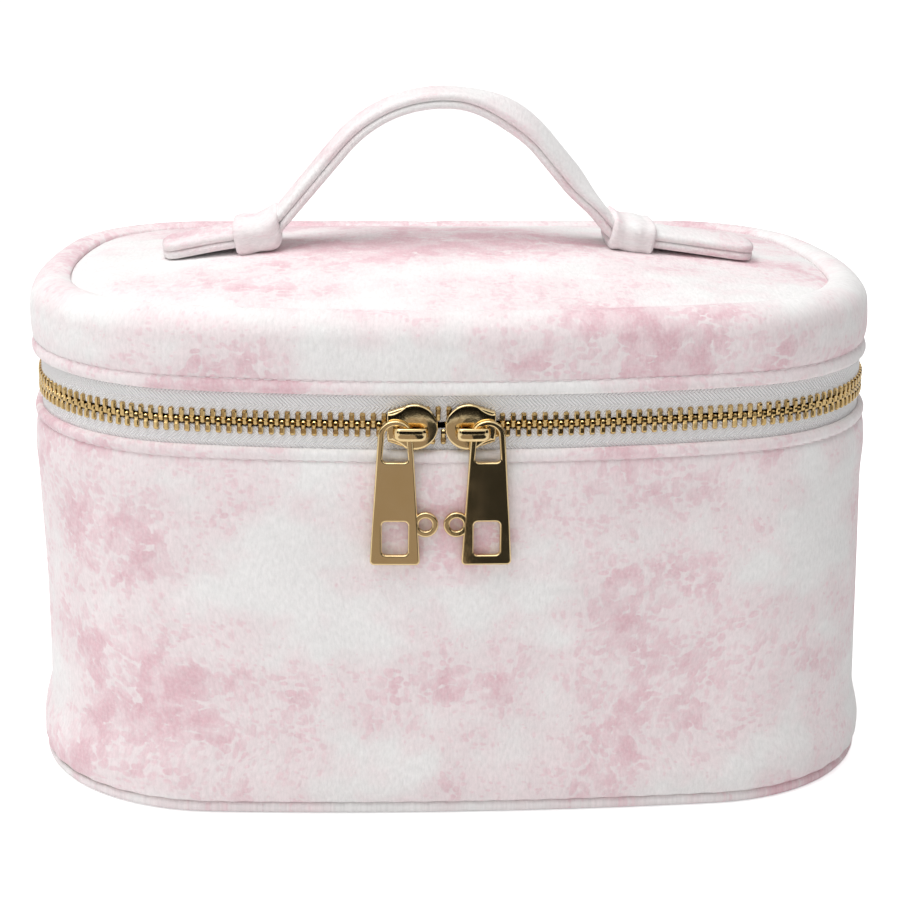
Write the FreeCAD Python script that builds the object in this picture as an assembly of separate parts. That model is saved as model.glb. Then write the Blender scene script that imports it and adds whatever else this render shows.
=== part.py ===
import FreeCAD, Part
import math
import os

Vec = FreeCAD.Vector

# Soft-sided train case, in millimetres. The origin is at the middle of the underside,
# +Z is up, +X is to the right of someone who faces the case and the front is at -Y.
# Layers are placed by their distance outward from the middle of the zip tape.

# Plan of the zip line: bowed front, bowed sides, round corners and a straight back
plan_width = 210.5
plan_depth = 124.5
front_corner = 47.0
rear_corner = 37.0
front_bow = 320.0
side_bow = 140.0

# Lower down the soft wall draws in from the zip line's depth and sags out past its width
waist_height = 20.0
waist_tuck = 2.5
bulge_height = 8.5
bulge_sag = 4.1
bulge_tuck = 1.5
foot_sag = 3.5
foot_tuck = 3.5
foot_bow = 800.0
shoulder_height = 66.0        # above this the wall stands straight
wall_steps = 4                # sections that shape the wall between waist and shoulder

# Sheet materials
velvet = 1.6
foam = 2.0
lining = 0.7
board = 2.0
tape = 0.6

# Bottom panel
base_height = 3.0
base_turn = 0.8

# Zip line and the folded lips beside it
zip_height = 100.5
lower_reveal = 6.0
upper_reveal = 7.3
body_lip = 4.0
lid_lip = 4.5
lip_swell = 1.9
tape_reach = 10.0

# Zip chain
tooth_pitch = 2.54
tooth_width = 1.15
tooth_thickness = 2.2
tooth_leg = 2.9
tooth_head = 0.6
tooth_slot = 1.25
tooth_play = 0.05
stop_length = 2.6
stop_set = 10.5               # from the end of the tape to the middle of a stop, clear of the hinge

# Sliders, which meet nose to nose a little left of the middle
meet_offset = -6.2
nose_gap = 1.9
slider_length = 11.7
slider_nose = 5.4
slider_tail = 3.6
slider_plate = 1.2
channel_play = 0.2
tape_slot = 1.1
post_length = 3.4
post_width = 2.0
post_offset = 2.9
row_spread = 1.7
row_close = 1.35              # the rows are closed this far inside a slider's tail
slider_round = 0.45

# Bridge over each slider and the pull that hangs in it
bridge_length = 8.5
bridge_shift = -0.45
bridge_foot = 1.3
bridge_foot_height = 2.4
bridge_bar = 1.3
bridge_bar_height = 3.2
bridge_eye = 2.4
bridge_drop = 1.0
pull_thickness = 1.6
pull_rim = 1.3
pull_top_width = 8.2
pull_bottom_width = 11.0
pull_length = 35.2
pull_corner = 1.2
pull_shoulder = 3.3           # the arched top starts this far below its crest
pull_round = 0.3
pull_eye_width = 5.0
pull_eye_length = 8.4
pull_eye_shoulder = 1.8
pull_hang = 0.55
pull_window_width = 6.2
pull_window_length = 8.3
pull_window_corner = 1.0
pull_window_rise = 2.0
eyelet_radius = 3.1
eyelet_bore = 3.2
eyelet_rise = 9.6
eyelet_gap = 1.0

# Lid
lid_height = 26.5
rim_radius = 6.5
rim_seam_angle = 125.0
rim_seam_gap = 0.12
crown = 8.0
crown_sink = 0.6
crown_sections = (1.0, 0.86, 0.66, 0.42, 0.14)   # shares of the outline that shape the dome
lid_board_rise = 0.8
lid_board_play = 0.1
lining_play = 0.1

# Strap handle and its keepers
handle_shift = -2.6
handle_rise = 38.5
strap_width = 15.5
strap_thickness = 4.4
strap_edge = 1.1
strap_tip = 4.5
arch_radius = 34.0
flank_slope = 50.0
foot_radius = 14.0
end_slope = 8.0
left_reach = 71.5
right_reach = 80.5
keeper_spacing = 94.0
keeper_length = 12.4
keeper_velvet = 1.6
keeper_play = 0.2
fold_half_span = 38.6
fold_gap = 0.4

# Where the layers lie
face = tape / 2                              # velvet starts here
skin = face + velvet                         # outer velvet face
foam_face = face - foam
lining_face = foam_face - lining
lip_top = zip_height - lower_reveal
wall_top = lip_top - body_lip
lid_edge = zip_height + upper_reveal
band_bottom = lid_edge + lid_lip
rim_top = zip_height + lid_height
rim_axis_height = rim_top - rim_radius
rim_axis = skin - rim_radius
seam_turn = math.radians(rim_seam_angle)
crown_outline = rim_axis + rim_radius * math.cos(seam_turn) - rim_seam_gap
crown_edge = rim_axis_height + rim_radius * math.sin(seam_turn) - crown_sink
crown_top = crown_edge + crown
board_top = rim_axis_height + lid_board_rise
board_bottom = board_top - board
board_face = rim_axis + math.sqrt((rim_radius - velvet) ** 2 - lid_board_rise ** 2) - lid_board_play
lid_ceiling = board_bottom - lining
floor_height = base_height + board
front_axis = front_bow - plan_depth / 2      # Y of the axis that the bowed front turns about
bulge_width = plan_width + bulge_sag
foot_width = plan_width + foot_sag
waist_depth = plan_depth - waist_tuck
bulge_depth = plan_depth - bulge_tuck
foot_depth = plan_depth - foot_tuck


def polar(centre, radius, angle):
    return (centre[0] + radius * math.cos(angle), centre[1] + radius * math.sin(angle))


def plan_arcs(out=0.0, width=plan_width, depth=plan_depth, bow=front_bow):
    """Closed plan as lines and tangent arcs, clockwise from the middle of the back."""
    half_w, half_d = width / 2 + out, depth / 2 + out
    corner, back, bow, side = front_corner + out, rear_corner + out, bow + out, side_bow + out
    front = (0.0, bow - half_d)
    flank = (half_w - side, 0.0)
    reach_front, reach_side = bow - corner, side - corner
    span = math.hypot(flank[0], front[1])
    along = (reach_front ** 2 - reach_side ** 2 + span ** 2) / (2 * span)
    across = math.sqrt(reach_front ** 2 - along ** 2)
    ux, uy = flank[0] / span, -front[1] / span
    fore = (along * ux - across * uy, front[1] + along * uy + across * ux)
    rear_y = half_d - back
    rear = (flank[0] + math.sqrt((side - back) ** 2 - rear_y ** 2), rear_y)
    rear_turn = math.atan2(rear[1], rear[0] - flank[0])
    fore_turn = math.atan2(fore[1], fore[0] - flank[0])
    front_turn = math.atan2(fore[1] - front[1], fore[0])
    quarter, half_turn = math.pi / 2, math.pi
    mirrored = [(-c[0], c[1]) for c in (fore, flank, rear)]
    return [
        ("line", (0.0, half_d), (rear[0], half_d)),
        ("arc", rear, back, quarter, rear_turn),
        ("arc", flank, side, rear_turn, fore_turn),
        ("arc", fore, corner, fore_turn, front_turn),
        ("arc", front, bow, front_turn, -half_turn - front_turn),
        ("arc", mirrored[0], corner, -half_turn - front_turn, -half_turn - fore_turn),
        ("arc", mirrored[1], side, -half_turn - fore_turn, -half_turn - rear_turn),
        ("arc", mirrored[2], back, -half_turn - rear_turn, -half_turn - quarter),
        ("line", (-rear[0], half_d), (0.0, half_d)),
    ]


def plan_edges(arcs, z, scale=1.0):
    edges = []
    for kind, *rest in arcs:
        if kind == "line":
            points = rest
        else:
            centre, radius, start, end = rest
            points = [polar(centre, radius, a) for a in (start, (start + end) / 2, end)]
        points = [Vec(x * scale, y * scale, z) for x, y in points]
        curve = Part.LineSegment(*points) if kind == "line" else Part.Arc(*points)
        edges.append(curve.toShape())
    return edges


def arc_length(arc):
    if arc[0] == "line":
        return math.dist(arc[1], arc[2])
    return arc[2] * abs(arc[4] - arc[3])


def walk(arcs, distance):
    """Point and outward direction at a distance along arcs that run clockwise."""
    for arc in arcs:
        length = arc_length(arc)
        if distance <= length or arc is arcs[-1]:
            _, centre, radius, start, end = arc
            angle = start + (end - start) * distance / length
            return polar(centre, radius, angle), angle
        distance -= length


def slab(bottom, top):
    size = 2 * (plan_width + plan_depth)
    return Part.makeBox(size, size, top - bottom, Vec(-size / 2, -size / 2, bottom))


def prism(out, bottom, top):
    """Plan outline, moved outward, as a plate."""
    wire = Part.Wire(plan_edges(plan_arcs(out), bottom))
    return Part.Face(wire).extrude(Vec(0, 0, top - bottom))


def ring(inner, outer, bottom, top):
    return prism(outer, bottom, top).cut(prism(inner, bottom, top))


def swept_ring(edges_at):
    """Ring with a profile drawn in distance out and height, carried round the plan."""
    path = Part.Wire(plan_edges(plan_arcs(), 0.0))
    profile = Part.Wire(edges_at(lambda out, z: Vec(0.0, plan_depth / 2 + out, z)))
    return path.makePipeShell([profile], True, False)


def wall_size(z):
    """Width, depth and front bow of the body wall at a height, eased between named levels."""
    levels = [
        (base_height, foot_width, foot_depth, 1 / foot_bow),
        (bulge_height, bulge_width, bulge_depth, 1 / foot_bow),
        (waist_height, plan_width, waist_depth, 1 / foot_bow),
        (shoulder_height, plan_width, plan_depth, 1 / front_bow),
    ]
    z = min(max(z, base_height), shoulder_height)
    for low, high in zip(levels, levels[1:]):
        if z <= high[0]:
            share = (z - low[0]) / (high[0] - low[0])
            ease = share * share * (3 - 2 * share)
            width, depth, bend = [a + (b - a) * ease for a, b in zip(low[1:], high[1:])]
            return width, depth, 1 / bend


def wall_form(out):
    """Outside of one layer of the body wall, from below its foot to above the zip line."""
    margin = base_height / 2
    rise = [base_height - margin, base_height, (base_height + bulge_height) / 2, bulge_height,
            (bulge_height + waist_height) / 2, waist_height]
    climb = (shoulder_height - waist_height) / wall_steps
    rise += [waist_height + climb * (i + 1) for i in range(wall_steps)]
    rise += [(shoulder_height + wall_top) / 2, wall_top, zip_height + margin]
    wires = [Part.Wire(plan_edges(plan_arcs(out, *wall_size(z)), z)) for z in rise]
    return Part.makeLoft(wires, True, False)


def wall_layer(inner, outer, bottom, top):
    return wall_form(outer).common(slab(bottom, top)).cut(wall_form(inner))


def base_plate(out, bottom, top):
    return wall_form(out).common(slab(bottom, top))


def base_panel():
    """Velvet bottom with a turned edge, flat underneath."""
    foot = plan_arcs(skin, foot_width, foot_depth, foot_bow)
    tuck = plan_arcs(skin - base_turn, foot_width, foot_depth, foot_bow)
    wires = [Part.Wire(plan_edges(tuck, 0.0)), Part.Wire(plan_edges(foot, base_height))]
    panel = Part.makeLoft(wires, True, True)
    edge = [e for e in panel.Edges if abs(e.BoundBox.ZMax) < tape / 10]
    return panel.makeFillet(base_height / 3, edge)


def lip(bottom, top):
    """Folded velvet edge: flat behind, rounded in front."""
    def edges(at):
        crest = at(face + lip_swell, (bottom + top) / 2)
        low, high = at(face, bottom), at(face, top)
        return [Part.LineSegment(low, high).toShape(), Part.Arc(high, crest, low).toShape()]
    return swept_ring(edges)


def tape_half(side):
    """Half of the zip tape, its edge drawn aside where the sliders part the rows."""
    near = tooth_slot + tooth_play
    outer = plan_edges(plan_arcs(face)[1:-1], zip_height)
    inner = plan_edges(plan_arcs(-face)[1:-1], zip_height)
    ends = [Part.LineSegment(a.Vertexes[i].Point, b.Vertexes[i].Point).toShape()
            for a, b, i in ((outer[0], inner[0], 0), (outer[-1], inner[-1], -1))]
    outline = Part.Wire(Part.__sortEdges__(outer + ends + inner))
    band = Part.Face(outline).extrude(Vec(0, 0, side * (tape_reach - near)))
    band.translate(Vec(0, 0, side * near))
    reach, full = [along + tooth_width for along in spread_reach()]
    depth = plan_depth / 2
    points = [(-reach, near), (-full, near + row_spread), (full, near + row_spread), (reach, near)]
    corners = [Vec(x, -depth - skin, zip_height + side * v) for x, v in points]
    notch = Part.Face(Part.makePolygon(corners + corners[:1])).extrude(Vec(0, 2 * skin, 0))
    return band.cut(on_front(notch, meet_turn()))


def spread_reach():
    """Distances from the meeting point where the rows are closed and fully parted."""
    middle = (nose_gap + slider_length) / 2
    return middle + slider_length / 2 - row_close, middle - post_offset + post_length / 2


def spread(distance):
    reach, full = spread_reach()
    share = (reach - abs(distance)) / (reach - full)
    return row_spread * min(1.0, max(0.0, share))


def meet_turn():
    return math.degrees(math.asin(meet_offset / front_bow))


def on_front(shape, turn):
    """Turn a shape made at the middle of the front along the bow."""
    moved = shape.copy()
    moved.rotate(Vec(0, front_axis, 0), Vec(0, 0, 1), turn)
    return moved


def tooth(side, length, head):
    """Clamped tooth: two legs over the tape edge and a head across the middle line."""
    half, slot = tooth_thickness / 2, tape / 2 + tooth_play
    outline = [(slot, tooth_leg), (half, tooth_leg), (half, -head), (-half, -head),
               (-half, tooth_leg), (-slot, tooth_leg), (-slot, tooth_slot), (slot, tooth_slot)]
    corners = [Vec(n, -length / 2, side * v) for n, v in outline]
    return Part.Face(Part.makePolygon(corners + corners[:1])).extrude(Vec(0, length, 0))


def chain_places(side):
    """Places of one row's teeth, half a pitch apart from the other row."""
    path = plan_arcs()[1:-1]
    total = sum(arc_length(a) for a in path)
    meet = total / 2 - front_bow * math.radians(meet_turn())
    margin = stop_set + stop_length / 2 + tooth_width
    count = int((total - 2 * margin) / tooth_pitch)
    first = (total - (count - 0.5) * tooth_pitch) / 2 + (side + 1) * tooth_pitch / 4
    spots = [first + i * tooth_pitch for i in range(count)]
    return path, total, [(s, spread(s - meet)) for s in spots]


def placed(shape, path, distance, lift):
    point, turn = walk(path, distance)
    copy = shape.copy()
    copy.Placement = FreeCAD.Placement(Vec(point[0], point[1], zip_height + lift),
                                       FreeCAD.Rotation(Vec(0, 0, 1), math.degrees(turn)))
    return copy


def teeth(side):
    path, _, spots = chain_places(side)
    one = tooth(side, tooth_width, tooth_head)
    return Part.makeCompound([placed(one, path, s, side * lift) for s, lift in spots])


def stops(side):
    path, total, _ = chain_places(side)
    one = tooth(side, stop_length, -tooth_play)
    return Part.makeCompound([placed(one, path, s, 0.0)
                              for s in (stop_set, total - stop_set)])


def hinge_strip(inner, outer, bottom, top):
    """Straight strip at the back, between the ends of the zip."""
    half = plan_arcs()[0][2][0] - tooth_play
    return Part.makeBox(2 * half, outer - inner, top - bottom, Vec(-half, plan_depth / 2 + inner, bottom))


def lid_band():
    """Side band that rolls over the padded rim to the top panel's seam."""
    def edges(at):
        inside = rim_radius - velvet

        def on_rim(radius, turn):
            return at(rim_axis + radius * math.cos(turn), rim_axis_height + radius * math.sin(turn))
        low_in, low_out = at(face, band_bottom), at(skin, band_bottom)
        outer = [on_rim(rim_radius, seam_turn * i / 2) for i in range(3)]
        inner = [on_rim(inside, seam_turn * i / 2) for i in range(3)]
        return [Part.LineSegment(low_in, low_out).toShape(),
                Part.LineSegment(low_out, outer[0]).toShape(),
                Part.Arc(*outer).toShape(),
                Part.LineSegment(outer[2], inner[2]).toShape(),
                Part.Arc(*reversed(inner)).toShape(),
                Part.LineSegment(inner[0], low_in).toShape()]
    return swept_ring(edges)


def rim_padding():
    """Padding in the roll, flat on the lid board and square to the top panel's foam."""
    def edges(at):
        radius = rim_radius - velvet
        low = board_top - rim_axis_height
        start = math.asin(low / radius)
        inner = crown_outline + rim_seam_gap
        end = math.acos((inner - rim_axis) / radius)
        arc = [at(rim_axis + radius * math.cos(a), rim_axis_height + radius * math.sin(a))
               for a in (start, (start + end) / 2, end)]
        corner = at(inner, board_top)
        return [Part.Arc(*arc).toShape(), Part.LineSegment(arc[2], corner).toShape(),
                Part.LineSegment(corner, arc[0]).toShape()]
    return swept_ring(edges)


def dome(drop=0.0):
    """Crowned top: plan outlines that shrink as the height rises, like a cushion."""
    wires = [Part.Wire(plan_edges(plan_arcs(crown_outline), crown_edge - drop + crown * (1 - k * k), k))
             for k in crown_sections]
    return Part.makeLoft(wires, True, False)


def lid_top_panel():
    skirt = prism(crown_outline, crown_edge - velvet, crown_edge)
    return skirt.fuse(dome()).cut(dome(velvet)).removeSplitter()


def lid_foam():
    block = prism(crown_outline, board_top, crown_edge - velvet)
    return block.fuse(dome(velvet)).removeSplitter()


def crown_height(x):
    """Height of the domed top on the middle line from side to side."""
    return crown_edge + crown * (1 - (x / (plan_width / 2 + crown_outline)) ** 2)


def strap_corners(reach):
    """Middle line of one half of the strap, as distance from the handle's middle and height."""
    apex = crown_top + handle_rise - strap_thickness / 2
    slope, tilt = math.radians(flank_slope), math.radians(end_slope)
    turn = (arch_radius * math.sin(slope), apex - arch_radius * (1 - math.cos(slope)))
    keep = keeper_spacing / 2
    rest = crown_height(keep + abs(handle_shift)) + keeper_velvet + keeper_play + strap_thickness / 2
    down, along = (math.cos(slope), -math.sin(slope)), (math.cos(tilt), -math.sin(tilt))
    cross = down[0] * along[1] - down[1] * along[0]
    run = ((keep - turn[0]) * along[1] - (rest - turn[1]) * along[0]) / cross
    bend = (turn[0] + run * down[0], turn[1] + run * down[1])
    trim = foot_radius * math.tan((slope - tilt) / 2)
    lift = (bend[0] - trim * down[0], bend[1] - trim * down[1])
    lay = (bend[0] + trim * along[0], bend[1] + trim * along[1])
    centre = (lift[0] + foot_radius * math.sin(slope), lift[1] + foot_radius * math.cos(slope))
    tip = (reach, lay[1] + (reach - lay[0]) * along[1] / along[0])
    return apex, turn, lift, lay, tip, centre


def strap_line(out, reach_left, reach_right):
    """Edges of the strap's side view, moved outward from its middle line."""
    slope, tilt = math.radians(flank_slope), math.radians(end_slope)
    sides = []
    for sign, reach in ((-1, reach_left), (1, reach_right)):
        apex, turn, lift, lay, tip, centre = strap_corners(reach)
        top, radius = (0.0, apex - arch_radius), foot_radius - out
        arch = [polar(top, arch_radius + out, math.pi / 2 - slope * i / 2) for i in (1, 2)]
        bend = [polar(centre, radius, a - math.pi / 2)
                for a in (-slope, -(slope + tilt) / 2, -tilt)]
        end = (tip[0] + out * math.sin(tilt), tip[1] + out * math.cos(tilt))
        points = [arch[0], arch[1]] + bend + [end]
        sides.append([Vec(handle_shift + sign * x, 0.0, z) for x, z in points])
    left, right = sides
    return [Part.LineSegment(left[5], left[4]).toShape(),
            Part.Arc(left[4], left[3], left[2]).toShape(),
            Part.LineSegment(left[2], left[1]).toShape(),
            Part.Arc(left[1], Vec(handle_shift, 0, apex + out), right[1]).toShape(),
            Part.LineSegment(right[1], right[2]).toShape(),
            Part.Arc(right[2], right[3], right[4]).toShape(),
            Part.LineSegment(right[4], right[5]).toShape()]


def strap(low, high, width):
    """Length of strap between two distances from its middle line."""
    bottom = strap_line(low, left_reach, right_reach)
    top = strap_line(high, left_reach, right_reach)
    ends = [Part.LineSegment(bottom[0].Vertexes[0].Point, top[0].Vertexes[0].Point).toShape(),
            Part.LineSegment(bottom[-1].Vertexes[-1].Point, top[-1].Vertexes[-1].Point).toShape()]
    outline = Part.Wire(Part.__sortEdges__(bottom + ends + top))
    strip = Part.Face(outline).extrude(Vec(0, width, 0))
    strip.translate(Vec(0, -width / 2, 0))
    return strip


def between(shape, left, right):
    size = 4 * plan_width
    box = Part.makeBox(right - left, size, size, Vec(left, -size / 2, -size / 2))
    return shape.common(box)


def soften(shape, radius, chosen):
    return shape.makeFillet(radius, [e for e in shape.Edges if chosen(e)])


def handle_strip(high):
    """One of the handle's two layers, rounded along the edges away from the other layer."""
    half = strap_thickness / 2
    low_side, high_side = (0.0, half) if high > 0 else (-half, 0.0)
    arch = between(strap(low_side, high_side, strap_width),
                   handle_shift - fold_half_span + fold_gap / 2,
                   handle_shift + fold_half_span - fold_gap / 2)
    seam = Part.Wire(strap_line(0.0, left_reach, right_reach))

    def far_edge(edge):
        middle = edge.valueAt((edge.FirstParameter + edge.LastParameter) / 2)
        off = seam.distToShape(Part.Vertex(middle.x, 0.0, middle.z))[0]
        along = edge.BoundBox.YLength < tape / 10 and edge.BoundBox.XLength > strap_edge
        return along and off > half / 2
    return soften(arch, strap_edge, far_edge)


def strap_end(sign):
    reach = left_reach if sign < 0 else right_reach
    inner, outer = fold_half_span + fold_gap / 2, 2 * reach
    left, right = sorted((handle_shift + sign * inner, handle_shift + sign * outer))
    half = strap_thickness / 2
    piece = between(strap(-half, half, strap_width), left, right)
    tip = handle_shift + sign * reach

    def at_tip(edge):
        box = edge.BoundBox
        return abs(box.Center.x - tip) < strap_thickness and box.YLength < tape / 10 and box.ZLength > half
    piece = soften(piece, strap_tip, at_tip)
    return piece.cut(lid_top_panel())


def keeper(sign):
    """Belt loop round the strap, sewn down on the top panel."""
    play, wrap = keeper_play, keeper_play + keeper_velvet
    half, skirt = strap_thickness / 2, keeper_velvet / 2
    outer = strap(-half - wrap - skirt, half + wrap, strap_width + 2 * wrap)
    inner = strap(-half - play, half + play, strap_width + 2 * play)
    middle = handle_shift + sign * keeper_spacing / 2
    loop = between(outer.cut(inner), middle - keeper_length / 2, middle + keeper_length / 2)
    filled = lid_top_panel().fuse(lid_foam())
    return top_piece(loop.cut(filled))


def top_piece(shape):
    """Highest of the solids that a cut leaves."""
    return max(shape.Solids, key=lambda s: s.BoundBox.ZMax)


def front_frame(d, n, v):
    """Point at the middle of the front: along the chain, outward and up."""
    return Vec(d, -plan_depth / 2 - n, zip_height + v)


def flat_piece(wire_points, n_from, n_to):
    corners = [front_frame(d, n_from, v) for d, v in wire_points]
    return Part.Face(Part.makePolygon(corners + corners[:1])).extrude(Vec(0, n_from - n_to, 0))


def slider_outline():
    """Shield outline: round nose, straight flanks to a narrow tail. The nose is at +d."""
    nose = slider_length / 2 - slider_nose
    tail = -slider_length / 2
    gap = math.hypot(nose - tail, slider_tail)
    turn = math.atan2(slider_tail, tail - nose) - math.acos(slider_nose / gap)
    touch = polar((nose, 0.0), slider_nose, turn)
    return nose, tail, touch


def slider_plate_solid(n_from, n_to):
    nose, tail, touch = slider_outline()
    high, low = front_frame(touch[0], n_from, touch[1]), front_frame(touch[0], n_from, -touch[1])
    back_high, back_low = front_frame(tail, n_from, slider_tail), front_frame(tail, n_from, -slider_tail)
    edges = [Part.Arc(high, front_frame(slider_length / 2, n_from, 0.0), low).toShape(),
             Part.LineSegment(low, back_low).toShape(),
             Part.LineSegment(back_low, back_high).toShape(),
             Part.LineSegment(back_high, high).toShape()]
    return Part.Face(Part.Wire(edges)).extrude(Vec(0, n_from - n_to, 0))


def slider_body():
    """Two plates on a dividing post, with flanges that leave a slot for the tape."""
    room = tooth_thickness / 2 + channel_play
    outer = room + slider_plate
    half = tooth_leg + channel_play
    ahead = slider_length
    closed, parted = [(nose_gap + slider_length) / 2 - along - tooth_width for along in spread_reach()]
    channel = [(-ahead, half), (closed, half), (parted, half + row_spread), (ahead, half + row_spread)]
    outline = channel + [(d, -v) for d, v in reversed(channel)]
    hollow = flat_piece(outline, -room, room)
    slot = flat_piece([(-ahead, -ahead), (ahead, -ahead), (ahead, ahead), (-ahead, ahead)],
                      -tape_slot / 2, tape_slot / 2)
    reach = post_length / 2
    post = flat_piece([(post_offset - reach, 0.0), (post_offset, post_width / 2),
                       (post_offset + reach, 0.0), (post_offset, -post_width / 2)], -room, room)
    shell = slider_plate_solid(-outer, outer)
    front = -plan_depth / 2 - outer
    shell = soften(shell, slider_round, lambda e: e.BoundBox.YLength < tape / 10
                   and abs(e.BoundBox.YMin - front) < tape / 10)
    return shell.cut(hollow).cut(slot).fuse(post).removeSplitter()


def slider_face():
    return tooth_thickness / 2 + channel_play + slider_plate


def bridge():
    """Bar on two feet over the slider; the pull's rim lies in its eye."""
    seat, eye = slider_face(), slider_face() + bridge_eye
    left = bridge_shift - bridge_length / 2
    right = bridge_shift + bridge_length / 2

    def block(d_from, d_to, n_from, n_to, height):
        half = height / 2
        return flat_piece([(d_from, -bridge_drop - half), (d_to, -bridge_drop - half),
                           (d_to, half - bridge_drop), (d_from, half - bridge_drop)], n_from, n_to)
    bar = block(left, right, eye, eye + bridge_bar, bridge_bar_height)
    bar = bar.makeFillet(bridge_bar / 3, [e for e in bar.Edges
                                          if e.BoundBox.YMin < -plan_depth / 2 - eye - bridge_bar / 2
                                          and e.BoundBox.YLength < bridge_bar / 10])
    feet = [block(left, left + bridge_foot, seat, eye, bridge_foot_height),
            block(right - bridge_foot, right, seat, eye, bridge_foot_height)]
    return bar.fuse(feet).removeSplitter()


def pull_pivot():
    """Middle of the bridge's tail foot, which the pull swings about."""
    return bridge_shift - bridge_length / 2 + bridge_foot / 2, -bridge_drop


def pull():
    """Tapered plate with an arched eye, a window and a lug on its inner edge."""
    pivot, level = pull_pivot()
    n_from = slider_face() + (bridge_eye - pull_thickness) / 2
    n_to = n_from + pull_thickness
    eye_top = level + bridge_foot_height / 2 + pull_hang
    top = eye_top + pull_rim
    bottom = top - pull_length

    def outline(points, n):
        return [front_frame(pivot + d, n, v) for d, v in points]

    def arched(half, crest, shoulder, foot_half, foot):
        left, right = outline([(-half, shoulder), (half, shoulder)], n_from)
        low_left, low_right = outline([(-foot_half, foot), (foot_half, foot)], n_from)
        peak = outline([(0.0, crest)], n_from)[0]
        edges = [Part.Arc(left, peak, right).toShape(), Part.LineSegment(right, low_right).toShape(),
                 Part.LineSegment(low_right, low_left).toShape(), Part.LineSegment(low_left, left).toShape()]
        return Part.Face(Part.Wire(edges)).extrude(Vec(0, n_from - n_to, 0))

    plate = arched(pull_top_width / 2, top, top - pull_shoulder, pull_bottom_width / 2, bottom)
    reach = (nose_gap + slider_length) / 2 - eyelet_gap / 2 - eyelet_radius
    eyelet = [Part.makeCylinder(size, pull_thickness, front_frame(reach, n_from, bottom + eyelet_rise),
                                Vec(0, -1, 0)) for size in (eyelet_radius, eyelet_bore / 2)]
    corners = [e for e in plate.Edges if e.BoundBox.YLength > pull_thickness / 2
               and abs(e.BoundBox.ZMin - zip_height - bottom) < tape / 10]
    plate = plate.makeFillet(pull_corner, corners)
    eye = arched(pull_eye_width / 2, eye_top, eye_top - pull_eye_shoulder,
                 pull_eye_width / 2, eye_top - pull_eye_length)
    sill = bottom + pull_window_rise
    window = flat_piece([(pivot - pull_window_width / 2, sill), (pivot + pull_window_width / 2, sill),
                         (pivot + pull_window_width / 2, sill + pull_window_length),
                         (pivot - pull_window_width / 2, sill + pull_window_length)], n_from, n_to)
    window = soften(window, pull_window_corner, lambda e: e.BoundBox.YLength > pull_thickness / 2)
    rounded = [soften(piece, pull_round, lambda e: e.BoundBox.YLength < tape / 10)
               for piece in (plate.cut(window), eyelet[0].cut(eyelet[1]))]
    return rounded[0].cut(eye).fuse(rounded[1]).removeSplitter()


def at_slider(shape, side):
    """Set a piece made for the left slider on its place along the bow, or mirror it."""
    piece = shape if side < 0 else shape.mirror(Vec(0, 0, 0), Vec(1, 0, 0))
    step = math.degrees((nose_gap + slider_length) / 2 / front_bow)
    return on_front(piece, meet_turn() + side * step)


nodes = {
    "body_wall": wall_layer(face, skin, base_height, wall_top),
    "base_panel": base_panel(),
    "base_board": base_plate(face, base_height, floor_height),
    "base_lining": base_plate(foam_face - lining_play, floor_height, floor_height + lining),
    "wall_foam": wall_layer(foam_face, face, floor_height, zip_height - tape_reach),
    "wall_lining": wall_layer(lining_face, foam_face, floor_height + lining, lip_top),
    "body_facing": lip(wall_top, lip_top),
    "body_binding": ring(foam_face, -face, zip_height - tape_reach, lip_top),
    "lower_zip_tape": tape_half(-1),
    "lower_zip_teeth": teeth(-1),
    "lower_zip_stops": stops(-1),
    "hinge_panel": hinge_strip(-face, face, zip_height - tape_reach, zip_height + tape_reach),
    "hinge_lining": hinge_strip(-face - lining, -face, lip_top, lid_edge),
    "lid_band": lid_band(),
    "lid_rim_padding": rim_padding(),
    "lid_top_panel": lid_top_panel(),
    "lid_foam": lid_foam(),
    "lid_board": prism(board_face, board_bottom, board_top),
    "lid_band_foam": ring(foam_face, face, zip_height + tape_reach, board_bottom),
    "lid_top_lining": prism(foam_face, lid_ceiling, board_bottom),
    "lid_band_lining": ring(lining_face, foam_face, lid_edge, lid_ceiling),
    "lid_facing": lip(lid_edge, band_bottom),
    "lid_binding": ring(foam_face, -face, lid_edge, zip_height + tape_reach),
    "upper_zip_tape": tape_half(1),
    "upper_zip_teeth": teeth(1),
    "upper_zip_stops": stops(1),
    "left_keeper": keeper(-1),
    "right_keeper": keeper(1),
    "left_strap_end": strap_end(-1),
    "right_strap_end": strap_end(1),
    "handle_top_strip": handle_strip(1),
    "handle_under_strip": handle_strip(-1),
    "left_slider_body": at_slider(slider_body(), -1),
    "right_slider_body": at_slider(slider_body(), 1),
    "left_slider_bridge": at_slider(bridge(), -1),
    "right_slider_bridge": at_slider(bridge(), 1),
    "left_pull": at_slider(pull(), -1),
    "right_pull": at_slider(pull(), 1),
}

os.makedirs("parts", exist_ok=True)
for name, shape in nodes.items():
    shape.exportStep(f"parts/{name}.step")
    box = shape.BoundBox
    print(f"{name}: {len(shape.Solids)} solids, {shape.Volume:.1f} mm3, valid {shape.isValid()}, "
          f"z {box.ZMin:.2f} to {box.ZMax:.2f}")
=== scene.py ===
import bpy
import bmesh
import math
import numpy as np
from mathutils import Matrix, Vector


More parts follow.
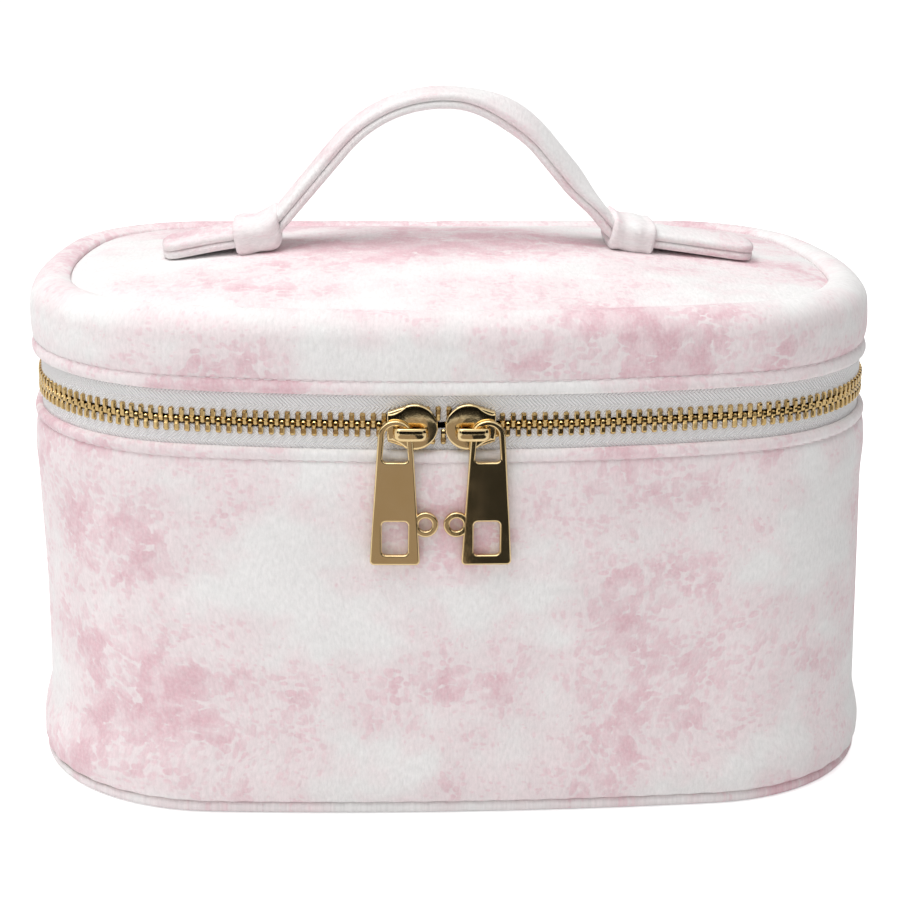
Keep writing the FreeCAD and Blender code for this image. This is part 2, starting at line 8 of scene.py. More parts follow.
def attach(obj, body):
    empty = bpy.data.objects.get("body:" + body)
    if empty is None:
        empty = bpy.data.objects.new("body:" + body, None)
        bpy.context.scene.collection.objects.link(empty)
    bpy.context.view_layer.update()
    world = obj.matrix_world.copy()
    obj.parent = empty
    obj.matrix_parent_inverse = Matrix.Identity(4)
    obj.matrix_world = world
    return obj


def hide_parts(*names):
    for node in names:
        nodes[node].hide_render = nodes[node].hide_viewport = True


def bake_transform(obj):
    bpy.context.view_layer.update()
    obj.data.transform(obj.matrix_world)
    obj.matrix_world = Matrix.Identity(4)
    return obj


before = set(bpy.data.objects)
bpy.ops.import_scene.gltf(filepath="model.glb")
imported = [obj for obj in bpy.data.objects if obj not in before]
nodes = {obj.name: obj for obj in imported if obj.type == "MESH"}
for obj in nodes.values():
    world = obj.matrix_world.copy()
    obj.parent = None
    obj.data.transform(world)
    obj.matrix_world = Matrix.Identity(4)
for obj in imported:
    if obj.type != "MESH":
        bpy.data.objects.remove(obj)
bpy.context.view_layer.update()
print("frame loaded:", len(nodes), "CAD nodes")

mm = 0.001

# the case's plan and levels in mm, as the CAD has them
caseForm = {
    "width": 210.5, "depth": 124.5, "frontCorner": 47.0, "rearCorner": 37.0,
    "frontBow": 320.0, "sideBow": 140.0, "footBow": 800.0,
    "foot": (3.0, 214.0, 121.0), "bulge": (8.5, 214.6, 123.0), "waist": (20.0, 210.5, 122.0),
    "shoulder": 66.0, "zip": 100.5, "wallTop": 91.4, "lipTop": 94.5, "lidEdge": 107.8, "bandBottom": 111.2,
    "face": 0.3, "skin": 1.9, "foamFace": -1.7, "liningFace": -2.4,
    "rimRadius": 6.5, "rimAxis": (-4.6, 120.5), "rimSeam": 125.0,
    "crownOut": -8.45, "crownEdge": 125.22, "crown": 8.0,
}
planSteps = (14, 34, 30, 44, 100, 44, 30, 34, 14)  # points on each stretch, from the middle of the back


def planArcs(out=0.0, width=None, depth=None, bow=None):
    # the outline as arcs that run into each other, clockwise from the middle of the back
    c = caseForm
    halfW, halfD = (width or c["width"]) / 2 + out, (depth or c["depth"]) / 2 + out
    corner, back = c["frontCorner"] + out, c["rearCorner"] + out
    bow, side = (bow or c["frontBow"]) + out, c["sideBow"] + out
    front, flank = (0.0, bow - halfD), (halfW - side, 0.0)
    reachFront, reachSide = bow - corner, side - corner
    span = math.hypot(flank[0], front[1])
    along = (reachFront ** 2 - reachSide ** 2 + span ** 2) / (2 * span)
    across = math.sqrt(reachFront ** 2 - along ** 2)
    ux, uy = flank[0] / span, -front[1] / span
    fore = (along * ux - across * uy, front[1] + along * uy + across * ux)
    rearY = halfD - back
    rear = (flank[0] + math.sqrt((side - back) ** 2 - rearY ** 2), rearY)
    rearTurn = math.atan2(rear[1], rear[0] - flank[0])
    foreTurn = math.atan2(fore[1], fore[0] - flank[0])
    frontTurn = math.atan2(fore[1] - front[1], fore[0])
    q, h = math.pi / 2, math.pi
    flip = [(-p[0], p[1]) for p in (fore, flank, rear)]
    return [((0.0, halfD), (rear[0], halfD)),
            (rear, back, q, rearTurn), (flank, side, rearTurn, foreTurn), (fore, corner, foreTurn, frontTurn),
            (front, bow, frontTurn, -h - frontTurn),
            (flip[0], corner, -h - frontTurn, -h - foreTurn), (flip[1], side, -h - foreTurn, -h - rearTurn),
            (flip[2], back, -h - rearTurn, -h - q), ((-rear[0], halfD), (0.0, halfD))]


def samplePlan(arcs, dense=1, steps=planSteps, last=False):
    points, normals = [], []

    def add(arc, t):
        if len(arc) == 2:   # straight stretch at the back
            points.append((arc[0][0] + (arc[1][0] - arc[0][0]) * t, arc[0][1]))
            normals.append((0.0, 1.0))
        else:
            a = arc[2] + (arc[3] - arc[2]) * t
            points.append((arc[0][0] + arc[1] * math.cos(a), arc[0][1] + arc[1] * math.sin(a)))
            normals.append((math.cos(a), math.sin(a)))
    for arc, count in zip(arcs, steps):
        for i in range(count * dense):
            add(arc, i / (count * dense))
    if last:
        add(arcs[-1], 1.0)
    return np.array(points), np.array(normals)


def lengthsAlong(points, closed=True):
    # distance from the first point to each, and back to the first where the line closes
    ends = np.vstack([points, points[:1]]) if closed else points
    return np.concatenate([[0.0], np.cumsum(np.linalg.norm(np.diff(ends, axis=0), axis=1))])


def ease(t):
    return t * t * (3 - 2 * t)   # level at both ends


def wallSize(z):
    # width, depth and front bow of the wall at a height
    c = caseForm
    levels = [(*c[name], 1 / c["footBow"]) for name in ("foot", "bulge", "waist")]
    levels.append((c["shoulder"], c["width"], c["depth"], 1 / c["frontBow"]))
    z = min(max(z, levels[0][0]), levels[-1][0])
    for low, high in zip(levels, levels[1:]):
        if z <= high[0]:
            t = ease((z - low[0]) / (high[0] - low[0]))
            w, d, bend = [a + (b - a) * t for a, b in zip(low[1:], high[1:])]
            return w, d, 1 / bend


# the soft wall settles to the right under a lid that sits a little left, in mm
leanForm = {"wall": 1.0, "wallFrom": 100.0, "wallOver": 60.0, "lid": 0.6, "lidFrom": 104.0, "lidOver": 8.0}


def lean(z):
    f = leanForm
    wall = np.clip((f["wallFrom"] - z) / f["wallOver"], 0, 1)
    return f["wall"] * ease(wall) - f["lid"] * np.clip((z - f["lidFrom"]) / f["lidOver"], 0, 1)


def addObject(name, data):
    item = bpy.data.objects.new(name, data)
    bpy.context.scene.collection.objects.link(item)
    return item


def addPiece(name, verts, faces, uvs=None, material=None, smooth=True):
    # mesh from points and cloth coordinates in mm
    mesh = bpy.data.meshes.new(name)
    mesh.from_pydata([tuple(v) for v in np.asarray(verts) * mm], [], [tuple(f) for f in faces])
    if uvs is not None:
        layer = mesh.uv_layers.new(name="clothUV")
        layer.data.foreach_set("uv", (np.asarray(uvs, dtype=np.float32) * mm).ravel())
    mesh.polygons.foreach_set("use_smooth", [smooth] * len(mesh.polygons))
    mesh.validate()
    mesh.update()
    if material:
        mesh.materials.append(material)
    return addObject(name, mesh)


def shell(name, rings, us, vs, material, closedProfile=True, closedRound=True, caps=False):
    # rows of points joined row to row; the last row joins the first where the profile closes
    n, m = len(rings[0]), len(rings)
    verts = np.concatenate(rings)
    faces, uvs = [], []
    for i in range(m if closedProfile else m - 1):
        a, b = i * n, ((i + 1) % m) * n
        for j in range(n if closedRound else n - 1):
            k = (j + 1) % n
            faces.append((a + j, b + j, b + k, a + k))
            uvs += [(us[j], vs[i]), (us[j], vs[i + 1]), (us[j + 1], vs[i + 1]), (us[j + 1], vs[i])]
    if caps:  # end caps of an open strip
        for j, order in ((0, 1), (n - 1, -1)):
            loop = [i * n + j for i in range(m)][::order]
            faces.append(loop)
            uvs += [(us[j], vs[i]) for i in range(m)][::order]
    return addPiece(name, verts, faces, uvs, material)


def atHeights(points, z):
    return np.column_stack([points, np.full(len(points), z) if np.isscalar(z) else z])


def leaned(points, z, level=None):
    ring = atHeights(points, z)
    ring[:, 0] += lean(z if level is None else level)
    return ring


def carried(profile, dense=1, soften=None, sizeAt=None):
    # a profile of (out, height) carried round the plan, whose size may change with the height
    us = lengthsAlong(samplePlan(planArcs(), dense)[0])
    rings = []
    for out, z in profile:
        p, normals = samplePlan(planArcs(0.0, *(sizeAt(z) if sizeAt else ())), dense)
        move = np.full(len(p), out) + (soften(us, z, out) if soften else 0.0)
        rings.append(leaned(p + normals * move[:, None], z))
    return rings, us, lengthsAlong(np.array(profile))


def tube(count, rows):
    # faces of rows of points joined row to row, closed at both ends
    faces = []
    for i in range(rows - 1):
        for j in range(count):
            k = (j + 1) % count
            faces.append((i * count + j, i * count + k, (i + 1) * count + k, (i + 1) * count + j))
    return faces + [list(range(count)), list(range((rows - 1) * count, rows * count))]


def closeOver(piece, count, place):
    # caps on the first and the last row of a shell, with its print laid flat
    mesh = bmesh.new()
    mesh.from_mesh(piece.data)
    mesh.verts.ensure_lookup_table()
    for start in (0, len(mesh.verts) - count):
        mesh.faces.new([mesh.verts[start + j] for j in range(count)])
    layer = mesh.loops.layers.uv.verify()
    for face in mesh.faces:
        face.smooth = True
        for loop in face.loops:
            loop[layer].uv = place(loop.vert.co)
    mesh.to_mesh(piece.data)
    mesh.free()


def linear(code):
    parts = [int(code[i:i + 2], 16) / 255 for i in (1, 3, 5)]
    return [c / 12.92 if c <= 0.04045 else ((c + 0.055) / 1.055) ** 2.4 for c in parts] + [1.0]


def addNode(tree, kind, links=None, inputs=None, **settings):
    node = tree.nodes.new(kind)
    for key, value in settings.items():
        setattr(node, key, value)
    for key, value in (inputs or {}).items():
        node.inputs[key].default_value = value
    for key, source in (links or {}).items():
        tree.links.new(source, node.inputs[key])
    return node


def newMaterial(name):
    material = bpy.data.materials.new(name)
    material.use_nodes = True
    tree = material.node_tree
    tree.nodes.clear()
    out = addNode(tree, "ShaderNodeOutputMaterial")
    shader = addNode(tree, "ShaderNodeBsdfPrincipled")
    tree.links.new(shader.outputs[0], out.inputs[0])
    return material, tree, shader


def sums(tree, operation, *values, kind="ShaderNodeMath"):
    # one step of arithmetic on sockets, numbers or vectors
    node = addNode(tree, kind, operation=operation)
    for socket, value in zip(node.inputs, values):
        if isinstance(value, bpy.types.NodeSocket):
            tree.links.new(value, socket)
        else:
            socket.default_value = value
    return node.outputs[0]


def vectors(tree, operation, *values):
    return sums(tree, operation, *values, kind="ShaderNodeVectorMath")


def noise(tree, place, size, detail, rough=0.5, output="Fac"):
    # features of the given size in mm
    return addNode(tree, "ShaderNodeTexNoise", {"Vector": place},
                   {"Scale": 1000 / size, "Detail": detail, "Roughness": rough}).outputs[output]


def remap(tree, value, low=0.0, high=1.0, toLow=0.0, toHigh=1.0, soft=False):
    return addNode(tree, "ShaderNodeMapRange", {"Value": value},
                   {"From Min": low, "From Max": high, "To Min": toLow, "To Max": toHigh},
                   interpolation_type="SMOOTHSTEP" if soft else "LINEAR").outputs[0]


def mixed(tree, factor, low, high):
    # from one colour to another, each a hex code or a socket
    node = addNode(tree, "ShaderNodeMix", {"Factor": factor}, data_type="RGBA")
    for socket, colour in zip(node.inputs[6:8], (low, high)):
        if isinstance(colour, str):
            socket.default_value = linear(colour)
        else:
            tree.links.new(colour, socket)
    return node.outputs[2]


def dress(tree, shader, colour, rough, height, strength, depth, more=None):
    # colour, roughness and a bump of the given depth in mm
    tree.links.new(colour, shader.inputs["Base Color"])
    bump = addNode(tree, "ShaderNodeBump", {"Height": height}, {"Strength": strength, "Distance": depth * mm})
    tree.links.new(bump.outputs[0], shader.inputs["Normal"])
    if isinstance(rough, float):
        shader.inputs["Roughness"].default_value = rough
    else:
        tree.links.new(rough, shader.inputs["Roughness"])
    for name, value in (more or {}).items():
        shader.inputs[name].default_value = value


def clothPlace(tree):
    return addNode(tree, "ShaderNodeUVMap", uv_map="clothUV").outputs[0]


def partPlace(tree):
    return addNode(tree, "ShaderNodeTexCoord").outputs["Object"]


# cotton velvet, sheared pile: soft rim light, no gloss, nap brushed downwards in short streaks
velvetLook = {"white": "#F6F4F3", "blush": "#F5E5E7", "rose": "#F0D6DB", "deepRose": "#E7C0C8", "warp": 16.0,
              "bend": (0.009, 0.007, 0.0), "cloud": 44.0, "clump": 11.0, "tone": 6.0, "branch": 30.0,
              "leaves": ((2.5, (1.0, 1.7, 1.0)), (3.8, (1.5, 1.0, 1.0))), "stipple": 0.8, "nap": 0.8, "patch": 15.0}


def makeVelvet():
    look = velvetLook
    material, tree, shader = newMaterial("printedCottonVelvet")
    uv = clothPlace(tree)
    warp = vectors(tree, "SUBTRACT", noise(tree, uv, look["warp"], 4.0, output="Color"), (0.5, 0.5, 0.5))
    bent = vectors(tree, "MULTIPLY_ADD", warp, look["bend"], uv)
    wide = vectors(tree, "MULTIPLY", bent, (0.62, 1.0, 1.0))
    cloud = noise(tree, wide, look["cloud"], 2.0, 0.45)
    grown = sums(tree, "MULTIPLY_ADD", noise(tree, bent, look["clump"], 2.5), 0.42, cloud)
    # leaves: single dabs at the rim of each mass, grown together towards its middle
    room = sums(tree, "MULTIPLY_ADD", grown, 3.0, -1.80)
    mass = None
    for size, stretch in look["leaves"]:
        drawn = vectors(tree, "MULTIPLY", bent, stretch)
        away = addNode(tree, "ShaderNodeTexVoronoi", {"Vector": drawn}, {"Scale": 1000 / size}).outputs["Distance"]
        dab = remap(tree, sums(tree, "SUBTRACT", room, away), -0.06, 0.14, soft=True)
        mass = sums(tree, "MAXIMUM", dab, mass) if mass else dab
    core = remap(tree, grown, 0.62, 0.76, 0.35, soft=True)
    heart = remap(tree, grown, 0.74, 0.86, soft=True)
    veil = remap(tree, grown, 0.57, 0.74, 0.0, 0.8, soft=True)
    light = remap(tree, noise(tree, bent, look["tone"], 3.0, 0.55), 0.38, 0.60, 0.3, soft=True)
    # limbs: short wandering lines inside the leaf masses
    away = sums(tree, "ABSOLUTE", sums(tree, "SUBTRACT", noise(tree, bent, look["branch"], 3.0), 0.52))
    limbs = sums(tree, "MULTIPLY", remap(tree, away, 0.004, 0.022, 0.55, 0.0), mass)
    # stipple: the ink sits on the tips of the pile, so white breaks through it
    ink = remap(tree, noise(tree, uv, look["stipple"], 2.0), 0.36, 0.62, 0.6, 1.0)
    ground = mixed(tree, sums(tree, "MAXIMUM", mass, veil), look["white"], look["blush"])
    leafInk = sums(tree, "MULTIPLY", sums(tree, "MULTIPLY", core, mass), light)
    roseInk = sums(tree, "MULTIPLY", sums(tree, "MAXIMUM", limbs, leafInk), ink)
    rose = mixed(tree, roseInk, ground, look["rose"])
    printed = mixed(tree, sums(tree, "MULTIPLY", heart, roseInk), rose, look["deepRose"])
    # nap: short downward streaks, drawn at 0.8 mm because single tufts are too fine for the picture
    nap = noise(tree, vectors(tree, "MULTIPLY", uv, (1.0, 0.4, 1.0)), look["nap"], 3.0, 0.7)
    patch = noise(tree, uv, look["patch"], 4.0)
    tone = sums(tree, "MULTIPLY", remap(tree, nap, 0.3, 0.7, 0.90, 1.04), remap(tree, patch, 0.3, 0.7, 0.96, 1.02))
    toned = addNode(tree, "ShaderNodeVectorMath", {0: printed, "Scale": tone}, operation="SCALE").outputs[0]
    dress(tree, shader, toned, remap(tree, patch, toLow=0.82, toHigh=0.96), nap, 0.45, 0.5,
          {"Sheen Weight": 0.25, "Sheen Roughness": 0.5, "Specular IOR Level": 0.2})
    return material


# polyester satin lining: smooth, slight gloss along the weave
liningLook = {"pink": "#F5E6E9", "shade": "#EEDCE0", "thread": 0.55, "cloud": 30.0}


def makeLining():
    look = liningLook
    material, tree, shader = newMaterial("polyesterSatinLining")
    uv = clothPlace(tree)
    weave = addNode(tree, "ShaderNodeTexWave", {"Vector": uv},
                    {"Scale": 1000 / look["thread"] / math.tau, "Distortion": 0.6, "Detail": 1.0},
                    wave_type="BANDS", bands_direction="DIAGONAL").outputs["Fac"]
    cloudy = noise(tree, uv, look["cloud"], 3.0)
    dress(tree, shader, mixed(tree, cloudy, look["shade"], look["pink"]),
          remap(tree, cloudy, toLow=0.36, toHigh=0.5), weave, 0.15, 0.2, {"Sheen Weight": 0.15})
    return material


# woven polyester zip tape: herringbone ribs that turn every 2.4 mm up the tape, matt
tapeLook = {"white": "#FCFBFB", "grey": "#ECEAEA", "rib": 0.95, "turn": 2.4, "yarn": 0.7}


def makeTape():
    look = tapeLook
    material, tree, shader = newMaterial("wovenPolyesterTape")
    uv = clothPlace(tree)
    run, rise, _ = addNode(tree, "ShaderNodeSeparateXYZ", {0: uv}).outputs
    slant = sums(tree, "ADD", run, sums(tree, "PINGPONG", rise, look["turn"] * mm))
    rib = sums(tree, "SINE", sums(tree, "MULTIPLY", slant, math.tau / (look["rib"] * mm)))
    yarn = noise(tree, uv, look["yarn"], 2.0)
    height = sums(tree, "ADD", rib, yarn)
    # grey in the grooves between the ribs and white on their crests: painted shade in the grooves, with the yarn
    # noise's own random tone
    dress(tree, shader, mixed(tree, remap(tree, height, -0.6, 1.6), look["grey"], look["white"]),
          remap(tree, yarn, toLow=0.7, toHigh=0.9), height, 0.6, 0.25)
    return material


# pale gold plate on zinc alloy: mirror with a faint polishing haze; the teeth's tones are darker, a painted shade
# between the teeth
goldLook = {"polished": ("#E4CDA0", "#D8BD88"), "shadedTeeth": ("#D3B884", "#BD9C62"), "haze": 6.0, "scuff": 0.6}


def makeGold(name, tones, roughLow, roughHigh):
    material, tree, shader = newMaterial(name)
    place = partPlace(tree)
    haze = noise(tree, place, goldLook["haze"], 4.0)
    dress(tree, shader, mixed(tree, haze, tones[1], tones[0]), remap(tree, haze, 0.3, 0.7, roughLow, roughHigh),
          noise(tree, place, goldLook["scuff"], 3.0), 0.05, 0.1, {"Metallic": 1.0})
    return material


def makeGrained(name, dark, pale, size, detail, rough, depth):
    material, tree, shader = newMaterial(name)
    grain = noise(tree, partPlace(tree), size, detail)
    dress(tree, shader, mixed(tree, grain, dark, pale), rough, grain, 0.3, depth)
    return material


velvet, lining, tapeCloth = makeVelvet(), makeLining(), makeTape()
polishedGold = makeGold("polishedGoldPlate", goldLook["polished"], 0.05, 0.11)
# the teeth's gold has darker tones than the pulls': painted shade between the teeth; its higher roughness is the
# teeth's own
toothGold = makeGold("toothGoldPlateShaded", goldLook["shadedTeeth"], 0.12, 0.2)
# grey pulp board: matt with short fibres
board = makeGrained("greyPulpBoard", "#8C857C", "#B5AEA4", 1.5, 5.0, 0.9, 0.3)
# spun polyester sewing thread: two plies, soft shine
thread = makeGrained("polyesterThread", "#EFDDE0", "#F8F0F0", 0.5, 2.0, 0.6, 0.1)
print("materials made:", len(bpy.data.materials))


def faceOut(piece):
    mesh = bmesh.new()
    mesh.from_mesh(piece.data)
    bmesh.ops.recalc_face_normals(mesh, faces=mesh.faces)
    mesh.to_mesh(piece.data)
    mesh.free()
    return piece


def hand(piece, body, slot, *stoodFor):
    # tells the frame what the piece rides on, and hides the nodes it stands for
    if body:
        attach(piece, body)
    if stoodFor:
        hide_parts(*stoodFor)
    return piece


def settle(piece, body, slot, *stoodFor):
    return hand(faceOut(piece), body, slot, *stoodFor)


def makePad(name, out, rows, material, body, slot, nodesFor, size=()):
    # panel with a soft edge, closed over its middle; each row is (share of the plan, inset, height)
    p, normals = samplePlan(planArcs(0.0, *size))
    rings = [leaned((p + normals * (out - inset)) * share, z) for share, inset, z in rows]
    piece = shell(name, rings, lengthsAlong(p), [0.0] * (len(rings) + 1), material, closedProfile=False)
    closeOver(piece, len(p), lambda co: co.xy)
    return settle(piece, body, slot, *nodesFor)


# body wall: velvet over thin foam, slack at the foot, in mm
wallSlack = {
    "waves": ((170.0, 1.3, 0.30), (71.0, 0.4, 0.18), (39.0, 2.2, 0.08)),   # length, start, height
    "dents": ((402.0, 38.0, 16.0, 20.0, -1.1), (150.0, 40.0, 14.0, 18.0, -1.0), (288.0, 30.0, 60.0, 16.0, 0.5),
              (215.0, 70.0, 40.0, 18.0, 0.35), (345.0, 74.0, 34.0, 14.0, 0.3)),   # place, spread, depth
    "puff": (0.5, 84.0, 5.0), "pucker": (0.16, 4.2, 2.2), "puckerPitch": 7.3,   # height, level, spread
    "seam": 0.7, "seamHalf": 1.6, "fade": (4.0, 89.0, 14.0),   # slack fades out at the foot and the rim
}


def swell(form, z):
    height, level, spread = wallSlack[form]
    return height * math.exp(-((z - level) / spread) ** 2)


def closingSeam(u, total):
    # dip at the middle of the back, where the cloth's ends are sewn together
    return wallSlack["seam"] * np.exp(-(np.minimum(u, total - u) / wallSlack["seamHalf"]) ** 2)


def makeBodyWall():
    s, skin, foam = wallSlack, caseForm["skin"], caseForm["foamFace"]
    rows = [(skin - 1.5, 3.1), (skin - 0.7, 3.2), (skin - 0.15, 3.8), (skin, 4.8)]
    rows += [(skin, z) for z in np.linspace(6.2, 86.0, 44)]
    rows += [(skin, 87.6), (skin - 0.02, 89.0), (skin - 0.12, 90.0), (skin - 0.38, 90.8), (skin - 0.8, 91.35),
             (skin - 1.35, 91.7)]
    rows += [(foam, z) for z in (91.5, 70.0, 45.0, 20.0, 8.5, 3.1)]
    foot, top, over = s["fade"]

    def soften(us, z, out):
        if out < 0:
            return 0.0
        u, soft = us[:-1], 0.0
        for length, start, height in s["waves"]:
            soft = soft + height * np.sin(math.tau * u / length + start + z / 31.0)
        for u0, z0, wide, high, deep in s["dents"]:
            soft += deep * np.exp(-((u - u0) / wide) ** 2 - ((z - z0) / high) ** 2)
        soft *= min(1.0, max(0.0, (z - foot) / over)) * min(1.0, max(0.0, (top - z) / over))
        soft += swell("puff", z) - closingSeam(u, us[-1])   # puffs up under the stitched lip
        return soft + swell("pucker", z) * np.sin(math.tau * u / s["puckerPitch"] + 0.8 * np.sin(u / 19.0))
    rings, us, _ = carried(rows, 2, soften, wallSize)
    wall = shell("bodyWall", rings, us, [z for _, z in rows] + [rows[0][1]], velvet)
    return settle(wall, "case", "printed_velvet", "body_wall", "wall_foam")


def makeBasePanel():
    c = caseForm
    skin, top = c["skin"], c["foot"][0]
    edge = ((9.0, 0.0), (1.9, 0.0), (1.1, 0.25), (0.55, 0.9), (0.3, 1.6), (0.45, 2.3), (1.0, 2.85), (1.6, top),
            (9.0, top))   # inset, height of the turned edge
    rows = [(0.02, skin, 0.0)] + [(1.0, inset, z) for inset, z in edge] + [(0.02, skin, top)]
    return makePad("basePanel", skin, rows, velvet, "case", "printed_velvet", ("base_panel",),
                   (*c["foot"][1:], c["footBow"]))


# folded lips beside the zip, dimpled where the stitches draw them down
lipForm = {"stitchPitch": 3.2, "dimple": 0.22, "groove": 1.1,
           "shape": ((0.1, -0.12), (0.75, -0.04), (1.3, 0.1), (1.65, 0.26), (1.82, 0.46), (1.8, 0.66), (1.6, 0.82),
                     (1.2, 0.94), (0.6, 1.0), (0.02, 0.98), (0.0, 0.5))}   # out in mm, share of the lip's height


def makeLip(name, groove, edge, body, node):
    face, f = caseForm["face"], lipForm
    profile = [(face + out, groove + (edge - groove) * t) for out, t in f["shape"]]

    def soften(us, z, out):
        u = us[:-1]
        near = math.exp(-((z - groove) / f["groove"]) ** 2)
        dimple = -f["dimple"] * near * (0.5 + 0.5 * np.cos(math.tau * u / f["stitchPitch"]))
        slow = 0.10 * np.sin(u / 23.0 + groove) + 0.06 * np.sin(u / 9.0)
        return (dimple + slow) * (1.0 if out > face + 0.1 else 0.0)
    rings, us, vs = carried(profile, 3, soften)
    return settle(shell(name, rings, us, vs + groove, velvet), body, "printed_velvet", node)


lidForm = {"puff": 0.5, "puffAt": 0.93, "puffHalf": 0.06, "printFrom": 912.0}   # the print's start picks its part
seamPrint = [0.0, 0.0]   # where the band's print ends at the middle of the front, in mm


def makeLidBand():
    c = caseForm
    axis, radius, low, skin, foam = c["rimAxis"], c["rimRadius"], c["bandBottom"], c["skin"], c["foamFace"]
    outer = [(c["face"] + 0.15, low - 0.3), (c["face"] + 0.8, low + 0.05), (skin - 0.38, low + 0.6),
             (skin - 0.12, low + 1.4)]
    outer += [(skin + 0.15 * math.sin(math.pi * (z - 113) / 7), z) for z in np.linspace(113.6, 119.8, 8)]
    outer += [(axis[0] + radius * math.cos(a), axis[1] + radius * math.sin(a))
              for a in np.radians(np.linspace(0, c["rimSeam"], 18))]
    end = outer[-1]
    inner = [(end[0] + 0.1, end[1] - 0.8), (end[0] + 0.5, end[1] - 1.8), (-6.0, 121.5), (foam, 119.3),
             (foam, 115.0), (foam, low)]

    def soften(us, z, out):
        if out < c["face"] - 6 or z < low + 0.2 or out == foam:
            return 0.0
        u = us[:-1]
        soft = 0.25 * np.sin(u / 27.0 + 0.7) + 0.16 * np.sin(u / 11.0 + z / 9.0) - closingSeam(u, u[-1])
        return soft * min(1.0, (z - low) / 3)
    rings, us, vs = carried(outer + inner, 2, soften)
    vs = vs + lidForm["printFrom"]
    seamPrint[:] = us[-1] / 2, vs[len(outer) - 1]
    band = settle(shell("lidBand", rings, us, vs, velvet), "lid", "printed_velvet",
                  "lid_band", "lid_rim_padding", "lid_band_foam")
    return band


def domeHeight(share):
    return caseForm["crownEdge"] + caseForm["crown"] * (1 - share * share)


def makeLidTop():
    c, f = caseForm, lidForm
    p, _ = samplePlan(planArcs(c["crownOut"]), 2)
    rim = c["crownEdge"]
    rows = [(1.0, 121.4), (1.006, 123.0), (1.006, rim - 0.7), (1.0, rim - 0.1), (0.993, rim + 0.3),
            (0.982, rim + 0.75)]
    rows += [(k, domeHeight(k) + f["puff"] * math.exp(-((k - f["puffAt"]) / f["puffHalf"]) ** 2))
             for k in np.linspace(0.965, 0.03, 42)]
    rings = []
    for share, z in rows:
        x, y = (p * share).T
        height = np.full(len(p), z)
        if share < 0.97:   # soft waves on the panel, none at its edge
            wave = 0.18 * np.sin(x / 17.0 + 0.5) * np.cos(y / 21.0) + 0.12 * np.sin((x + y) / 9.0)
            height += min(1.0, (1 - share) / 0.12) * wave
        rings.append(leaned(p * share, height, 125.0))
    piece = shell("lidTop", rings, lengthsAlong(p), [0.0] * (len(rings) + 1), velvet, closedProfile=False)
    start = seamPrint[1] + c["depth"] / 2 + c["crownOut"]
    closeOver(piece, len(p), lambda co: (seamPrint[0] * mm - co.x, start * mm + co.y))
    settle(piece, "lid", "printed_velvet", "lid_top_panel", "lid_foam")
    return piece


makeBodyWall()
makeBasePanel()
makeLip("bodyLip", caseForm["wallTop"], caseForm["lipTop"], "case", "body_facing")
makeLip("lidLip", caseForm["bandBottom"], caseForm["lidEdge"], "lid", "lid_facing")
makeLidBand()
makeLidTop()
print("velvet shell made")


# strap handle: two velvet strips sewn edge to edge, one long band from end to end
strapForm = {"shift": -2.6, "rise": 38.5, "width": 16.6, "thick": 4.2, "archRadius": 34.0, "flank": 50.0,
             "footRadius": 7.0, "endSlope": 8.0, "left": 71.5, "right": 80.5, "keeperSpacing": 94.0,
             "keeperCloth": 1.6, "keeperPlay": 0.2, "tip": 4.5, "seam": 1.1,
             "settle": 0.9, "settleFrom": 68.0, "settleOver": 22.0, "printFrom": 700.0, "twist": 11.0,
             "twistAt": (3.0, 20.0, 40.0, 53.0)}


def strapHalf(reach, count=90):
    # middle line of one half from the top of the arch to the tip, evenly spaced
    s, c = strapForm, caseForm
    arch, foot, keep = s["archRadius"], s["footRadius"], s["keeperSpacing"] / 2
    slope, tilt = math.radians(s["flank"]), math.radians(s["endSlope"])
    down, lying = np.array([math.cos(slope), -math.sin(slope)]), np.array([math.cos(tilt), -math.sin(tilt)])
    apex = c["crownEdge"] + c["crown"] + s["rise"] - s["thick"] / 2
    share = (keep + abs(s["shift"])) / (c["width"] / 2 + c["crownOut"])
    rest = domeHeight(share) + s["keeperCloth"] + s["keeperPlay"] + s["thick"] / 2
    turn = np.array([arch * math.sin(slope), apex - arch * (1 - math.cos(slope))])   # end of the arch
    off = np.array([keep, rest]) - turn
    run = (off[0] * lying[1] - off[1] * lying[0]) / (down[0] * lying[1] - down[1] * lying[0])
    trim = foot * math.tan((slope - tilt) / 2)
    lift, lay = turn + down * (run - trim), turn + down * run + lying * trim   # ends of the foot bend
    centre = lift + foot * np.array([math.sin(slope), math.cos(slope)])
    tip = lay + lying * (reach - lay[0]) / lying[0]
    over, under = np.linspace(0, slope, 60), np.linspace(slope, tilt, 40)[1:]
    points = np.vstack([np.column_stack([arch * np.sin(over), apex - arch * (1 - np.cos(over))]),
                        np.linspace(turn, lift, 20)[1:],
                        centre - foot * np.column_stack([np.sin(under), np.cos(under)]),
                        np.linspace(lay, tip, 20)[1:]])
    along = lengthsAlong(points, closed=False)
    even = np.linspace(0, along[-1], count)
    return np.column_stack([np.interp(even, along, axis) for axis in points.T]), even


def strapLine():
    left, leftAlong = strapHalf(strapForm["left"])
    right, rightAlong = strapHalf(strapForm["right"])
    line = np.vstack([np.column_stack([-left[::-1, 0], left[::-1, 1]]), right[1:]])
    along = np.concatenate([-leftAlong[::-1], rightAlong[1:]])
    line[:, 0] += strapForm["shift"]
    tangent = np.gradient(line, axis=0)
    tangent /= np.linalg.norm(tangent, axis=1)[:, None]
    return line, np.column_stack([-tangent[:, 1], tangent[:, 0]]), along


